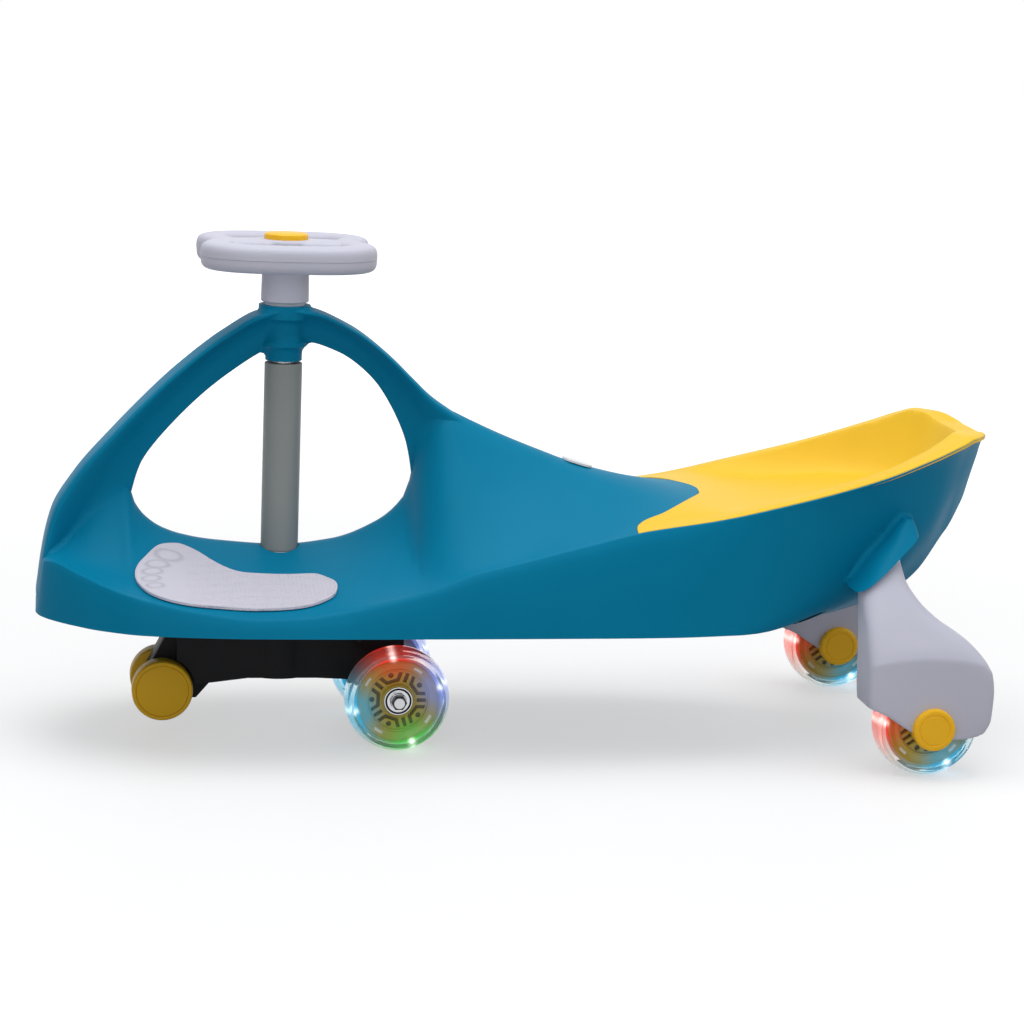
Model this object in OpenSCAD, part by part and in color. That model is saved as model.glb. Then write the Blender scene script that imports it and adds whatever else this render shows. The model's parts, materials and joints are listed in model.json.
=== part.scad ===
// Wiggle car: a moulded body shell on a steering truck and two rear legs.
// +X is forward, +Y is the rider's left and +Z is up.
// The origin lies on the floor under the middle of the body.

/* [Body] */
// Length of the body shell, nose to tail
body_l = 736; // [690:1:790]
// Width of the body shell at the skirt
body_w = 230; // [215:1:250]
// Height of the skirt's lower edge
skirt_z = 100; // [98:1:110]
// Height of the top of the arch
arch_z = 330; // [315:1:350]
// Place of the column from the nose, as a share of the body's length
column_share = 0.2486; // [0.24:0.0002:0.258]
// Wall of the body shell
wall = 3.2; // [2.6:0.1:4]
// Width across the rim of the arch
arch_w = 38; // [34:1:46]
// Width of the lip beside the seat
lip_w = 4; // [3.6:0.1:6]
// Thickness of the ribs under the deck
rib_t = 3; // [2:0.1:4]

/* [Seat] */
// Thickness of the seat shell
seat_t = 3.4; // [2.6:0.1:4.5]
// Height that the seat's edge stands above the lip
seat_proud = 0.8; // [0.4:0.1:1.5]
// Thickness of the foot pads
pad_t = 1.8; // [1.2:0.1:3]
// Length of the badge pad
badge_l = 24; // [18:1:32]
// Width of the badge pad
badge_w = 15; // [10:1:20]
// Thickness of the badge pad
badge_t = 1.6; // [1:0.1:2.5]

/* [Column] */
// Diameter of the steering shaft
shaft_d = 16; // [14:0.5:18]
// Outer diameter of the column sleeve
sleeve_d = 28.4; // [26:0.1:30]
// Wall of the column sleeve
sleeve_wall = 1.6; // [1:0.1:2.4]
// Diameter of the boss under the arch
boss_d = 27.6; // [25:0.1:32]
// Depth of the boss under the top of the arch
boss_drop = 41; // [36:1:46]
// Diameter of the collar on the arch
collar_d = 39; // [35:0.5:44]
// Diameter of the hub neck
neck_d = 36; // [30:0.5:40]
// Length of the hub neck
neck_l = 26.5; // [24:0.5:34]
// Wall of the plain bushes
bush_wall = 2.4; // [2:0.1:2.8]
// Flange thickness of the plain bushes
flange_t = 2; // [1.5:0.1:3]

/* [Steering wheel] */
// Size of the steering wheel, front to back
grip_l = 139; // [130:1:148]
// Size of the steering wheel, side to side
grip_w = 136; // [126:1:150]
// Width of the steering wheel's rim
rim_w = 24; // [20:0.5:27]
// Height of the upper half
upper_h = 10.5; // [8:0.5:13]
// Height of the lower half
lower_h = 10; // [8:0.5:12]
// Diameter of the cap
cap_d = 33; // [28:0.5:38]
// Height of the cap
cap_h = 5; // [4:0.5:7]

/* [Light-up wheels] */
// Diameter of the light-up wheels
wheel_d = 80; // [76:1:84]
// Width of the light-up wheels
wheel_w = 24; // [22:0.5:26]
// Radial depth of the clear tyre
tyre_depth = 6.5; // [5.5:0.1:8]
// Radial depth of the light ring
light_depth = 2.3; // [1.8:0.1:3]
// Outer diameter of a ball bearing
bearing_od = 22; // [20:0.5:24]
// Width of a ball bearing
bearing_w = 7; // [6:0.5:8]
// Diameter of the wheel axles
axle_d = 8; // [7:0.5:9]

/* [Truck] */
// Distance from the column back to the front axle
front_axle_back = 87; // [82:1:95]
// Distance between the middles of the front wheels
front_track = 108; // [102:1:120]
// Width of the truck arm
arm_w = 50; // [44:1:54]
// Distance from the column forward to the safety axle
safety_ahead = 88; // [84:1:96]
// Height of the safety axle
safety_z = 39; // [37:1:42]
// Diameter of the safety wheels
safety_d = 46; // [42:1:48]
// Width of a safety wheel
safety_w = 16; // [13:0.5:18]
// Distance between the middles of the safety wheels
safety_track = 44; // [42:0.5:50]
// Diameter of the safety axle
safety_axle_d = 6; // [5:0.5:7]

/* [Rear legs] */
// Place of the rear axle from the nose, as a share of the body's length
rear_axle_share = 0.8981; // [0.89:0.0001:0.906]
// Distance between the middles of the rear wheels
rear_track = 260; // [250:1:272]
// Length of a leg, front to back
leg_l = 107; // [102:1:114]
// Width of a leg over the wheel
leg_w = 45; // [42:0.5:50]
// Height of the top of a leg
leg_top_z = 182; // [176:1:188]
// Width of the slot that the wheel runs in
slot_w = 32; // [30:0.5:34]
// Radial room round a rear wheel
slot_room = 4; // [3:0.1:4.5]
// Diameter of the axle caps
axle_cap_d = 32; // [28:0.5:34]
// Height of the axle caps
axle_cap_h = 6; // [5:0.5:8]

/* [Hidden] */
// Sides of round features in moulded pieces
$fn = 48;
// Sides of small round features in moulded pieces
small_sides = 12;
// Overrun of cuts
over = 1;
// Radial clearance of running fits
running = 0.05;
// Radial clearance of pieces that sit in each other
snug = 0.1;
// Clearance between moulded pieces
moulded_gap = 0.4;
// End clearance of turning pieces
end_gap = 0.3;
// Clearance under the foot pads
pad_gap = 1.1;
// Clearance between the truck and the skirt
truck_gap = 2;

half_w = body_w / 2;
nose_x = body_l / 2;
column_x = nose_x - column_share * body_l;
rise = arch_z - skirt_z;
wheel_r = wheel_d / 2;
axle_r = axle_d / 2;
shaft_r = shaft_d / 2;
bearing_r = bearing_od / 2;
front_axle_x = column_x - front_axle_back;
safety_x = column_x + safety_ahead;
rear_axle_x = nose_x - rear_axle_share * body_l;

// Heights along the column
truck_top_z = skirt_z - truck_gap;
truck_low_share = 0.48;
truck_low_z = skirt_z * truck_low_share;
washer_t = truck_gap + end_gap;
deck_boss_z = truck_top_z + washer_t + end_gap;
sleeve_low_z = skirt_z + rise * 0.191;
lower_flange_z = sleeve_low_z - end_gap - flange_t;
boss_low_z = arch_z - boss_drop;
sleeve_top_z = boss_low_z - flange_t;
collar_h_share = 0.02;
collar_low_share = 0.22;
collar_top_z = arch_z + collar_h_share * collar_d;
neck_low_z = collar_top_z + flange_t + end_gap;
neck_top_z = neck_low_z + neck_l;
parting_z = neck_top_z + lower_h;
wheel_top_z = parting_z + upper_h;

// Shape of the body along its length. The first number of each pair is a share of
// the length from the nose. Heights are shares of the rise from the skirt to the top
// of the arch, and widths are shares of the half width.
ridge_shares = [
    [0, 0.005], [0.003, 0.105], [0.008, 0.19], [0.018, 0.225], [0.039, 0.3], [0.06, 0.375], [0.074, 0.4],
    [0.095, 0.375], [0.115, 0.31], [0.14, 0.26], [0.183, 0.222], [0.249, 0.204], [0.303, 0.226],
    [0.35, 0.29], [0.375, 0.39], [0.388, 0.52], [0.397, 0.625], [0.406, 0.675], [0.4155, 0.68],
    [0.4225, 0.664], [0.439, 0.637], [0.4755, 0.585], [0.519, 0.53], [0.557, 0.487], [0.628, 0.433],
    [0.69, 0.405], [0.77, 0.43], [0.849, 0.504], [0.94, 0.615], [0.96, 0.632], [0.98, 0.622], [1, 0.55]];
crest_shares = [
    [0, 0.05], [0.008, 0.1], [0.018, 0.08], [0.039, 0.06], [0.115, 0.05], [0.14, 0.05], [0.35, 0.05],
    [0.378, 0.07], [0.396, 0.1], [0.414, 0.14], [0.48, 0.18], [0.557, 0.24], [0.628, 0.33],
    [0.69, 0.4], [0.94, 0.4], [0.975, 0.25], [1, 0.04]];
gunwale_w_shares = [
    [0, 0.1], [0.003, 0.225], [0.008, 0.315], [0.018, 0.42], [0.039, 0.575], [0.076, 0.78],
    [0.107, 0.87], [0.167, 0.93], [0.215, 0.948], [0.322, 0.94], [0.477, 0.913], [0.6, 0.89],
    [0.68, 0.88], [0.77, 0.875], [0.849, 0.845], [0.912, 0.775], [0.942, 0.72], [0.962, 0.635],
    [0.982, 0.48], [0.994, 0.29], [1, 0.11]];
gunwale_z_shares = [
    [0, 0.002], [0.003, 0.088], [0.008, 0.178], [0.018, 0.187], [0.039, 0.17], [0.076, 0.135],
    [0.107, 0.111], [0.167, 0.076], [0.215, 0.061], [0.262, 0.067], [0.322, 0.1], [0.394, 0.157],
    [0.433, 0.204], [0.477, 0.239], [0.557, 0.304], [0.6, 0.337], [0.683, 0.379], [0.766, 0.439],
    [0.849, 0.51], [0.912, 0.58], [0.942, 0.617], [0.962, 0.634], [0.982, 0.622], [0.994, 0.59], [1, 0.55]];
skirt_w_shares = [
    [0, 0.226], [0.003, 0.315], [0.008, 0.385], [0.018, 0.48], [0.039, 0.626], [0.0625, 0.757],
    [0.107, 0.9], [0.167, 0.965], [0.215, 0.99], [0.322, 1], [0.561, 0.983], [0.633, 0.965],
    [0.707, 0.896], [0.764, 0.817], [0.822, 0.73], [0.88, 0.626], [0.923, 0.54], [0.955, 0.435],
    [0.982, 0.296], [1, 0.09]];
skirt_z_shares = [
    [0, 0], [0.72, 0], [0.764, 0.01], [0.822, 0.075], [0.88, 0.175], [0.923, 0.326],
    [0.955, 0.475], [0.976, 0.53], [0.99, 0.545], [1, 0.545]];
// Drop of the keel below the skirt towards the tail, and its half width as a share of the skirt's
keel_drop_shares = [
    [0, 0], [0.7, 0], [0.764, 0.006], [0.822, 0.056], [0.88, 0.108], [0.923, 0.175], [0.955, 0.19],
    [0.976, 0.145], [0.99, 0.06], [1, 0.004]];
keel_w_shares = [[0, 0.97], [0.7, 0.97], [0.8, 0.6], [0.9, 0.5], [1, 0.5]];
// Power of the flank between crest and gunwale: at 1 it is straight, above 1 it is scooped
flank_shares = [
    [0, 1], [0.012, 1.5], [0.03, 2.6], [0.08, 2.8], [0.105, 1.9], [0.125, 1.35], [0.15, 1.1], [0.19, 0.95],
    [0.3, 0.95], [0.35, 1.4], [0.385, 1.9], [0.405, 1.6], [0.44, 1.4], [0.52, 1.42], [0.6, 1.25],
    [0.7, 1], [1, 1]];
seat_floor_shares = [
    [0.55, 0.47], [0.65, 0.42], [0.69, 0.398], [0.73, 0.392], [0.79, 0.397], [0.845, 0.415],
    [0.885, 0.456], [0.92, 0.526], [0.945, 0.588], [0.965, 0.626], [0.98, 0.637], [1, 0.62]];
// Points across the top of a section, as shares of the gunwale's half width
across_shares = [0, 0.07, 0.15, 0.26, 0.38, 0.52, 0.66, 0.8, 0.92, 1];
// Points down the side of a section: the way out to the skirt, then the way down to it
side_shares = [[0.3, 0.1], [0.75, 0.5], [1, 1]];

// Seat, along the body's length
seat_front_share = 0.596;
seat_back_share = 0.978;
seat_blend_shares = [0.63, 0.75];
seat_cup_power = 4;
seat_stations = 18;
// Outline of the tongue that runs into the seat: share of the length, share of the half width
tongue_shares = [
    [0.56, 1.04], [0.594, 1.04], [0.599, 0.84], [0.6046, 0.74], [0.633, 0.635], [0.6535, 0.46],
    [0.6725, 0.3], [0.684, 0.19], [0.69, 0.1], [0.692, 0]];

// Arch: its rim and its inner edge, as shares of the length and of the rise
arch_rim_shares = [
    [0.0014, 0.05], [0.0068, 0.183], [0.0163, 0.313], [0.0394, 0.439], [0.0774, 0.583],
    [0.1386, 0.783], [0.1875, 0.909], [0.2215, 0.974], [0.2486, 0.996], [0.2758, 0.988],
    [0.318, 0.93], [0.356, 0.839], [0.382, 0.75], [0.402, 0.683], [0.432, 0.6]];
arch_edge_shares = [
    [0.045, 0.05], [0.05, 0.13], [0.061, 0.217], [0.08, 0.33], [0.1046, 0.47],
    [0.1522, 0.661], [0.1943, 0.778], [0.2296, 0.852], [0.2486, 0.874], [0.2731, 0.88],
    [0.3057, 0.848], [0.3383, 0.772], [0.3573, 0.691], [0.3764, 0.548], [0.39, 0.391]];
arch_steps = 2;
// Width of the arch along its run, as a share of its width
arch_taper_shares = [
    [0, 1.6], [0.07, 1.5], [0.14, 1.2], [0.22, 1.02], [0.5, 1], [0.75, 0.92], [0.9, 0.8], [1, 0.55]];
// Section of the arch: share of the way from rim to inner edge, share of the half width
arch_section_shares = [
    [-0.03, 0], [0, 0.6], [0.03, 0.9], [0.1, 1], [0.2, 0.97], [0.28, 0.86], [0.43, 0.58], [0.65, 0.33],
    [0.9, 0.16], [1, 0]];

// Foot pad: share of the body's length, then shares of the half width of its two edges
pad_inner_shares = [
    [0.098, 0.53], [0.1, 0.46], [0.106, 0.385], [0.117, 0.285], [0.13, 0.207], [0.141, 0.177],
    [0.152, 0.186], [0.1665, 0.255], [0.184, 0.37], [0.205, 0.44], [0.23, 0.452], [0.265, 0.463],
    [0.284, 0.5], [0.295, 0.58], [0.299, 0.66]];
pad_outer_shares = [
    [0.098, 0.545], [0.1, 0.605], [0.108, 0.727], [0.1265, 0.835], [0.156, 0.872], [0.2, 0.875],
    [0.249, 0.868], [0.279, 0.828], [0.295, 0.765], [0.299, 0.675]];
pad_stations = 20;
pad_lanes = 8;
badge_share = 0.5585;

// Leg sections from bottom to top: share of the leg's top height, then the front, back,
// inner and outer faces as shares of the leg's length and width from the wheel's middle
leg_shares = [
    [0.165, -0.36, 0.37, -0.46, 0.46], [0.25, -0.44, 0.44, -0.49, 0.49],
    [0.36, -0.47, 0.449, -0.5, 0.5], [0.44, -0.475, 0.43, -0.5, 0.5],
    [0.505, -0.475, 0.365, -0.525, 0.46], [0.57, -0.475, 0.26, -0.585, 0.34],
    [0.643, -0.475, 0.075, -0.69, 0.18], [0.714, -0.47, -0.055, -0.82, -0.02],
    [0.797, -0.465, -0.135, -1.02, -0.29], [0.88, -0.455, -0.155, -1.26, -0.56],
    [1, -0.44, -0.165, -1.6, -0.89]];
leg_levels = 11;
leg_round_shares = [[0.165, 0.4], [0.45, 0.45], [0.7, 0.75], [1, 0.85]];
leg_sides = 18;
socket_grow_share = 0.12;
socket_tilt = 34;
socket_low_share = 0.8;

// Number of stations along the body
body_stations = 38;
// Stations of the hollow, closer together where the ridge is steep
hollow_guard_share = 0.012;
hollow_shares = [
    0.014, 0.03, 0.06, 0.09, 0.12, 0.16, 0.21, 0.26, 0.31, 0.345, 0.365, 0.38, 0.395, 0.41, 0.43,
    0.48, 0.54, 0.6, 0.65, 0.7, 0.75, 0.8, 0.84, 0.88, 0.91, 0.93];

// Smooth curve through pairs of place and value, without overshoot
function chord(pairs, i) = (pairs[i + 1][1] - pairs[i][1]) / (pairs[i + 1][0] - pairs[i][0]);
function mean_slope(a, b) = a * b <= 0 ? 0 : 2 * a * b / (a + b);
function slope_at(pairs, i) =
    i == 0 ? chord(pairs, 0) :
    i == len(pairs) - 1 ? chord(pairs, i - 1) :
    mean_slope(chord(pairs, i - 1), chord(pairs, i));
function curve(pairs, s) =
    let (i = max(0, min(len(pairs) - 2, len([for (p = pairs) if (p[0] <= s) 1]) - 1)),
         h = pairs[i + 1][0] - pairs[i][0],
         u = max(0, min(1, (s - pairs[i][0]) / h)),
         u2 = u * u,
         u3 = u2 * u)
    pairs[i][1] * (2 * u3 - 3 * u2 + 1) + slope_at(pairs, i) * h * (u3 - 2 * u2 + u)
    + pairs[i + 1][1] * (3 * u2 - 2 * u3) + slope_at(pairs, i + 1) * h * (u3 - u2);
function mix(a, b, s) = a + (b - a) * s;
function ease(s) = let (c = max(0, min(1, s))) c * c * (3 - 2 * c);
// Even steps that crowd towards both ends
function crowded(low, high, count) = [for (i = [0:count]) mix(low, high, (1 - cos(180 * i / count)) / 2)];

// Measures of the body at one share of its length
function body_x(s) = nose_x - s * body_l;
function ridge_z(s) = skirt_z + rise * curve(ridge_shares, s);
function crest_w(s) = half_w * curve(crest_shares, s);
function gunwale_w(s) = half_w * curve(gunwale_w_shares, s);
function gunwale_z(s) = skirt_z + rise * curve(gunwale_z_shares, s);
function skirt_w(s) = half_w * curve(skirt_w_shares, s);
function low_z(s) = skirt_z + rise * curve(skirt_z_shares, s);
function keel_w(s) = skirt_w(s) * curve(keel_w_shares, s);
function keel_z(s) = low_z(s) - rise * curve(keel_drop_shares, s);
function measures(s) = [ridge_z(s), crest_w(s), gunwale_w(s), gunwale_z(s), curve(flank_shares, s)];
// Height of the body's top at a distance y from the middle: a round crest that runs on
// into a scooped flank with the same slope
function top_of(m, y) =
    let (reach = m[2] - m[1],
         turn = m[4] * m[1] / 2 / reach,
         drop = turn * (m[0] - m[3]) / (1 + turn),
         u = min(1, (y - m[1]) / reach))
    y < m[1] ? m[0] - drop * pow(y / m[1], 2)
             : m[3] + (m[0] - drop - m[3]) * pow(1 - u, m[4]);
function top_z(s, y) = top_of(measures(s), abs(y));
function seat_half_w(s) = gunwale_w(s) - lip_w;
function seat_z(s, y) =
    let (floor_z = skirt_z + rise * curve(seat_floor_shares, s),
         edge_z = gunwale_z(s) + seat_proud,
         bowl = mix(floor_z, edge_z, pow(min(1, abs(y) / seat_half_w(s)), seat_cup_power)),
         blend = ease((s - seat_blend_shares[0]) / (seat_blend_shares[1] - seat_blend_shares[0])))
    mix(top_z(s, y) + seat_proud * pow(min(1, abs(y) / seat_half_w(s)), seat_cup_power), bowl, blend);

// A closed ring from the points of its left half, top first
function mirrored(x, half) = concat(
    [for (p = half) [x, p[0], p[1]]],
    [for (i = [len(half) - 1:-1:1]) if (half[i][0] > 0) [x, -half[i][0], half[i][1]]]);

function body_ring(s) =
    let (m = measures(s), w = skirt_w(s), z = low_z(s))
    mirrored(body_x(s), concat(
        [for (c = across_shares) [c * m[2], top_of(m, c * m[2])]],
        [for (c = side_shares) [mix(m[2], w, c[0]), mix(m[3], z, c[1])]],
        [[keel_w(s), keel_z(s)]]));

// The hollow keeps under the lowest top nearby, so steep stretches keep their wall
function hollow_top(s, y) =
    min([for (d = [-1, 0, 1]) top_z(max(0, s + d * hollow_guard_share), y)]) - wall * 1.25;
under_seat = seat_t + moulded_gap + wall;
function cavity_ring(s) =
    let (m = measures(s), thick = wall * mix(1, 3, ease((s - 0.7) / 0.15)), w = skirt_w(s) - thick,
         z = low_z(s), inner_w = m[2] - thick * 1.3)
    mirrored(body_x(s), concat(
        [for (c = across_shares)
            let (y = c * inner_w,
                 hull_z = hollow_top(s, y),
                 held_z = s > seat_front_share ? min(hull_z, seat_z(s, y) - under_seat) : hull_z)
            [y, max(held_z, z + over / 2)]],
        [[w, z], [max(over, keel_w(s) - thick), keel_z(s) - over]]));

function pocket_ring(s) =
    let (w = seat_half_w(s) + moulded_gap)
    mirrored(body_x(s), concat(
        [[0, arch_z], [w, arch_z]],
        [for (i = [len(across_shares) - 1:-1:1])
            let (y = across_shares[i] * w) [y, seat_z(s, y) - seat_t - moulded_gap]],
        [[0, seat_z(s, 0) - seat_t - moulded_gap]]));

function seat_ring(s) =
    let (w = seat_half_w(s), x = body_x(s), n = len(across_shares))
    concat(
        [for (i = [0:n - 1]) let (y = across_shares[i] * w) [x, y, seat_z(s, y)]],
        [for (i = [n - 1:-1:0]) let (y = across_shares[i] * w) [x, y, seat_z(s, y) - seat_t]],
        [for (i = [1:n - 1]) let (y = across_shares[i] * w) [x, -y, seat_z(s, y) - seat_t]],
        [for (i = [n - 1:-1:1]) let (y = across_shares[i] * w) [x, -y, seat_z(s, y)]]);

// Point of an arch outline at a step between its listed points
function arch_point(pairs, at) =
    let (x = curve([for (i = [0:len(pairs) - 1]) [i, pairs[i][0]]], at),
         z = curve([for (i = [0:len(pairs) - 1]) [i, pairs[i][1]]], at))
    [body_x(x), skirt_z + rise * z];
function arch_ring(at) =
    let (rim = arch_point(arch_rim_shares, at),
         edge = arch_point(arch_edge_shares, at),
         n = len(arch_section_shares),
         half = arch_w / 2 * curve(arch_taper_shares, at / (len(arch_rim_shares) - 1)))
    concat(
        [for (c = arch_section_shares)
            [mix(rim[0], edge[0], c[0]), c[1] * half, mix(rim[1], edge[1], c[0])]],
        [for (i = [n - 2:-1:1]) let (c = arch_section_shares[i])
            [mix(rim[0], edge[0], c[0]), -c[1] * half, mix(rim[1], edge[1], c[0])]]);

// Skin over a row of rings, closed by its two end rings
module loft(rings) {
    n = len(rings[0]);
    m = len(rings);
    polyhedron(
        points = [for (r = rings) each r],
        faces = concat(
            [[for (k = [0:n - 1]) k]],
            [for (i = [0:m - 2], k = [0:n - 1]) [i * n + k, (i + 1) * n + k, (i + 1) * n + (k + 1) % n]],
            [for (i = [0:m - 2], k = [0:n - 1]) [i * n + k, (i + 1) * n + (k + 1) % n, i * n + (k + 1) % n]],
            [[for (k = [n - 1:-1:0]) (m - 1) * n + k]]));
}

// Skin over rings that close on themselves
module ring_loft(rings) {
    n = len(rings[0]);
    m = len(rings);
    polyhedron(
        points = [for (r = rings) each r],
        faces = concat(
            [for (i = [0:m - 1], k = [0:n - 1])
                [i * n + k, ((i + 1) % m) * n + k, ((i + 1) % m) * n + (k + 1) % n]],
            [for (i = [0:m - 1], k = [0:n - 1])
                [i * n + k, ((i + 1) % m) * n + (k + 1) % n, i * n + (k + 1) % n]]));
}

// Round pieces that lie along Y, from one place to another
module cross_rod(r, from_y, to_y) {
    translate([0, from_y, 0]) rotate([-90, 0, 0]) cylinder(r = r, h = to_y - from_y);
}
module cross_ring(outer_r, inner_r, from_y, to_y) {
    translate([0, from_y, 0]) rotate([-90, 0, 0]) difference() {
        cylinder(r = outer_r, h = to_y - from_y);
        translate([0, 0, -over]) cylinder(r = inner_r, h = to_y - from_y + 2 * over);
    }
}
module washer(outer_r, inner_r, h) {
    difference() {
        cylinder(r = outer_r, h = h);
        translate([0, 0, -over]) cylinder(r = inner_r, h = h + 2 * over);
    }
}
module hex_nut(across, inner_r, h) {
    difference() {
        cylinder(d = across / cos(30), h = h, $fn = 6);
        translate([0, 0, -over]) cylinder(r = inner_r, h = h + 2 * over);
    }
}

// Left leg, with its length along X and its wheel's middle at the origin of X and Y;
// grow pushes every face out
function leg_row(i) = [for (r = leg_shares) [r[0], r[i]]];
function leg_ring(s, grow) =
    let (front = -curve(leg_row(1), s) * leg_l + grow,
         back = -curve(leg_row(2), s) * leg_l - grow,
         inner = curve(leg_row(3), s) * leg_w - grow,
         outer = curve(leg_row(4), s) * leg_w + grow,
         power = curve(leg_round_shares, s),
         z = s * leg_top_z)
    [for (i = [0:leg_sides - 1])
        let (a = -360 * i / leg_sides,
             cx = sign(cos(a)) * pow(abs(cos(a)), power),
             cy = sign(sin(a)) * pow(abs(sin(a)), power))
        [mix(back, front, (1 + cx) / 2), mix(inner, outer, (1 + cy) / 2), z]];
function lifted(ring, up) = [for (p = ring) p + [0, 0, up]];
module leg_form(grow) {
    low = leg_shares[0][0];
    for (i = [1:leg_levels]) hull() loft([
        leg_ring(mix(low, 1, i / leg_levels), grow), leg_ring(mix(low, 1, (i - 1) / leg_levels), grow)]);
}
// Children as they are for side 1, and mirrored to the right for side -1
module on_side(side) {
    if (side > 0) children();
    else mirror([0, 1, 0]) children();
}
module at_leg(side) {
    on_side(side) translate([rear_axle_x, rear_track / 2, 0]) children();
}

// Sizes of the leg's seats for the axle hardware
leg_face_w = leg_w * 0.47;
axle_hole_r = axle_r + moulded_gap;
screw_r = axle_r / 2;
head_h = axle_d * 0.55;
head_across = axle_d * 1.6;
screw_head_r = screw_r * 1.8;
leg_screw_shares = [0.89, 0.95];
leg_screw_x = leg_l * 0.31;
leg_screw_y = -leg_w * 1.5;
leg_screw_l = leg_w * 0.5;
seat_screw_shares = [0.725, 0.785];
seat_screw_y = half_w * 0.19;
module at_seat_screw(s, side) {
    translate([body_x(s), side * seat_screw_y, seat_z(s, seat_screw_y) - under_seat]) children();
}
module leg_screw_holes(stem_r, head_r) {
    for (c = leg_screw_shares) translate([leg_screw_x, 0, c * leg_top_z]) {
        cross_rod(stem_r, leg_screw_y - over, leg_screw_y + leg_screw_l + moulded_gap, $fn = small_sides);
        cross_rod(head_r, leg_screw_y - leg_w / 2, leg_screw_y, $fn = small_sides);
    }
}

// Body shell
rib_places_shares = [0.05, 0.13, 0.2, 0.3, 0.37, 0.45, 0.53, 0.6, 0.68, 0.83];
deck_boss_r = shaft_r + bush_wall + moulded_gap + 2 * wall;
lower_bush_r = shaft_r + running + bush_wall;
sleeve_hole_r = sleeve_d / 2 + 2 * moulded_gap;
upper_bush_r = shaft_r + running + bush_wall;
module rib(s) {
    h = rise;
    hull() {
        translate([body_x(s) - rib_t / 2, -half_w, skirt_z + rib_t]) cube([rib_t, body_w, h / 2]);
        translate([body_x(s) - rib_t / 4, -half_w, skirt_z + rib_t]) cube([rib_t / 2, body_w, h]);
    }
}
module tongue(grow) {
    translate([0, 0, skirt_z]) linear_extrude(height = 2 * rise) offset(delta = grow) polygon(concat(
        [for (c = tongue_shares) [body_x(c[0]), c[1] * half_w]],
        [for (i = [len(tongue_shares) - 2:-1:0]) let (c = tongue_shares[i]) [body_x(c[0]), -c[1] * half_w]]));
}
module leg_socket(side) {
    grow = socket_grow_share * leg_w;
    at_leg(side) intersection() {
        loft(concat(
            [lifted(leg_ring(1, -grow), 1.7 * grow), lifted(leg_ring(1, grow / 2), 1.1 * grow)],
            [for (i = [leg_levels:-1:0]) leg_ring(mix(leg_shares[0][0], 1, i / leg_levels), grow)]));
        translate([leg_l * 0.46, 0, leg_top_z * socket_low_share]) rotate([0, socket_tilt, 0])
            translate([-2 * leg_l, -4 * leg_w, 0]) cube([3 * leg_l, 8 * leg_w, leg_top_z]);
    }
}
module body_hollow() {
    difference() {
        loft([for (s = hollow_shares) cavity_ring(s)]);
        for (s = rib_places_shares) rib(s);
        translate([column_x, 0, deck_boss_z]) cylinder(r = deck_boss_r, h = rise);
        for (side = [-1, 1]) leg_socket(side);
    }
}
module body_shell() {
    color([0.01, 0.5, 0.66]) difference() {
        union() {
            loft([for (s = crowded(0, 1, body_stations)) body_ring(s)]);
            loft([for (i = [0:(len(arch_rim_shares) - 1) * arch_steps]) arch_ring(i / arch_steps)]);
            translate([column_x, 0, boss_low_z]) cylinder(d = boss_d, h = boss_drop);
            translate([column_x, 0, arch_z - boss_drop * collar_low_share])
                cylinder(d = collar_d, h = collar_top_z - arch_z + boss_drop * collar_low_share);
            for (side = [-1, 1]) leg_socket(side);
        }
        body_hollow();
        difference() {
            loft([for (s = crowded(seat_front_share, seat_back_share, seat_stations)) pocket_ring(s)]);
            tongue(0);
        }
        for (side = [-1, 1]) at_leg(side) {
            leg_form(moulded_gap);
            leg_screw_holes(screw_r + moulded_gap, screw_head_r + moulded_gap);
        }
        for (s = seat_screw_shares, side = [-1, 1]) at_seat_screw(s, side)
            translate([0, 0, -over])
                cylinder(r = screw_head_r + wall / 2 + moulded_gap, h = 3 * under_seat, $fn = small_sides);
        translate([column_x, 0, 0]) {
            translate([0, 0, lower_flange_z - moulded_gap]) cylinder(r = sleeve_hole_r, h = rise * 0.2);
            translate([0, 0, deck_boss_z - over]) cylinder(r = lower_bush_r + moulded_gap, h = arch_z);
        }
    }
}

// Seat shell
seat_end_share = seat_back_share - moulded_gap / body_l;
module seat_shell() {
    color([0.98, 0.78, 0.18]) difference() {
        union() {
            loft([for (s = crowded(seat_front_share, seat_end_share, seat_stations)) seat_ring(s)]);
            for (s = seat_screw_shares, side = [-1, 1], drop = [0, seat_t / 2])
                at_seat_screw(s, side) hull() {
                    cylinder(r = screw_head_r, h = under_seat - seat_t / 2, $fn = small_sides);
                    translate([0, 0, wall + moulded_gap + drop])
                        cylinder(r = screw_head_r + wall / 2, h = seat_t / 4, $fn = small_sides);
                }
        }
        tongue(moulded_gap);
        for (s = seat_screw_shares, side = [-1, 1]) at_seat_screw(s, side)
            translate([0, 0, -over])
                cylinder(r = screw_r + snug, h = under_seat - wall / 2 + over, $fn = small_sides);
    }
}

// Foot pad on one side of the deck
module foot_pad(side) {
    n = pad_lanes;
    low = pad_inner_shares[0][0];
    high = pad_inner_shares[len(pad_inner_shares) - 1][0];
    color([0.75, 0.75, 0.8]) on_side(side) loft([for (s = crowded(low, high, pad_stations))
        let (x = body_x(s),
             inner = curve(pad_inner_shares, s) * half_w,
             outer = curve(pad_outer_shares, s) * half_w)
        concat(
            [for (i = [0:n]) let (y = mix(inner, outer, i / n)) [x, y, top_z(s, y) + pad_gap + pad_t]],
            [for (i = [n:-1:0]) let (y = mix(inner, outer, i / n)) [x, y, top_z(s, y) + pad_gap]])]);
}

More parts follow.
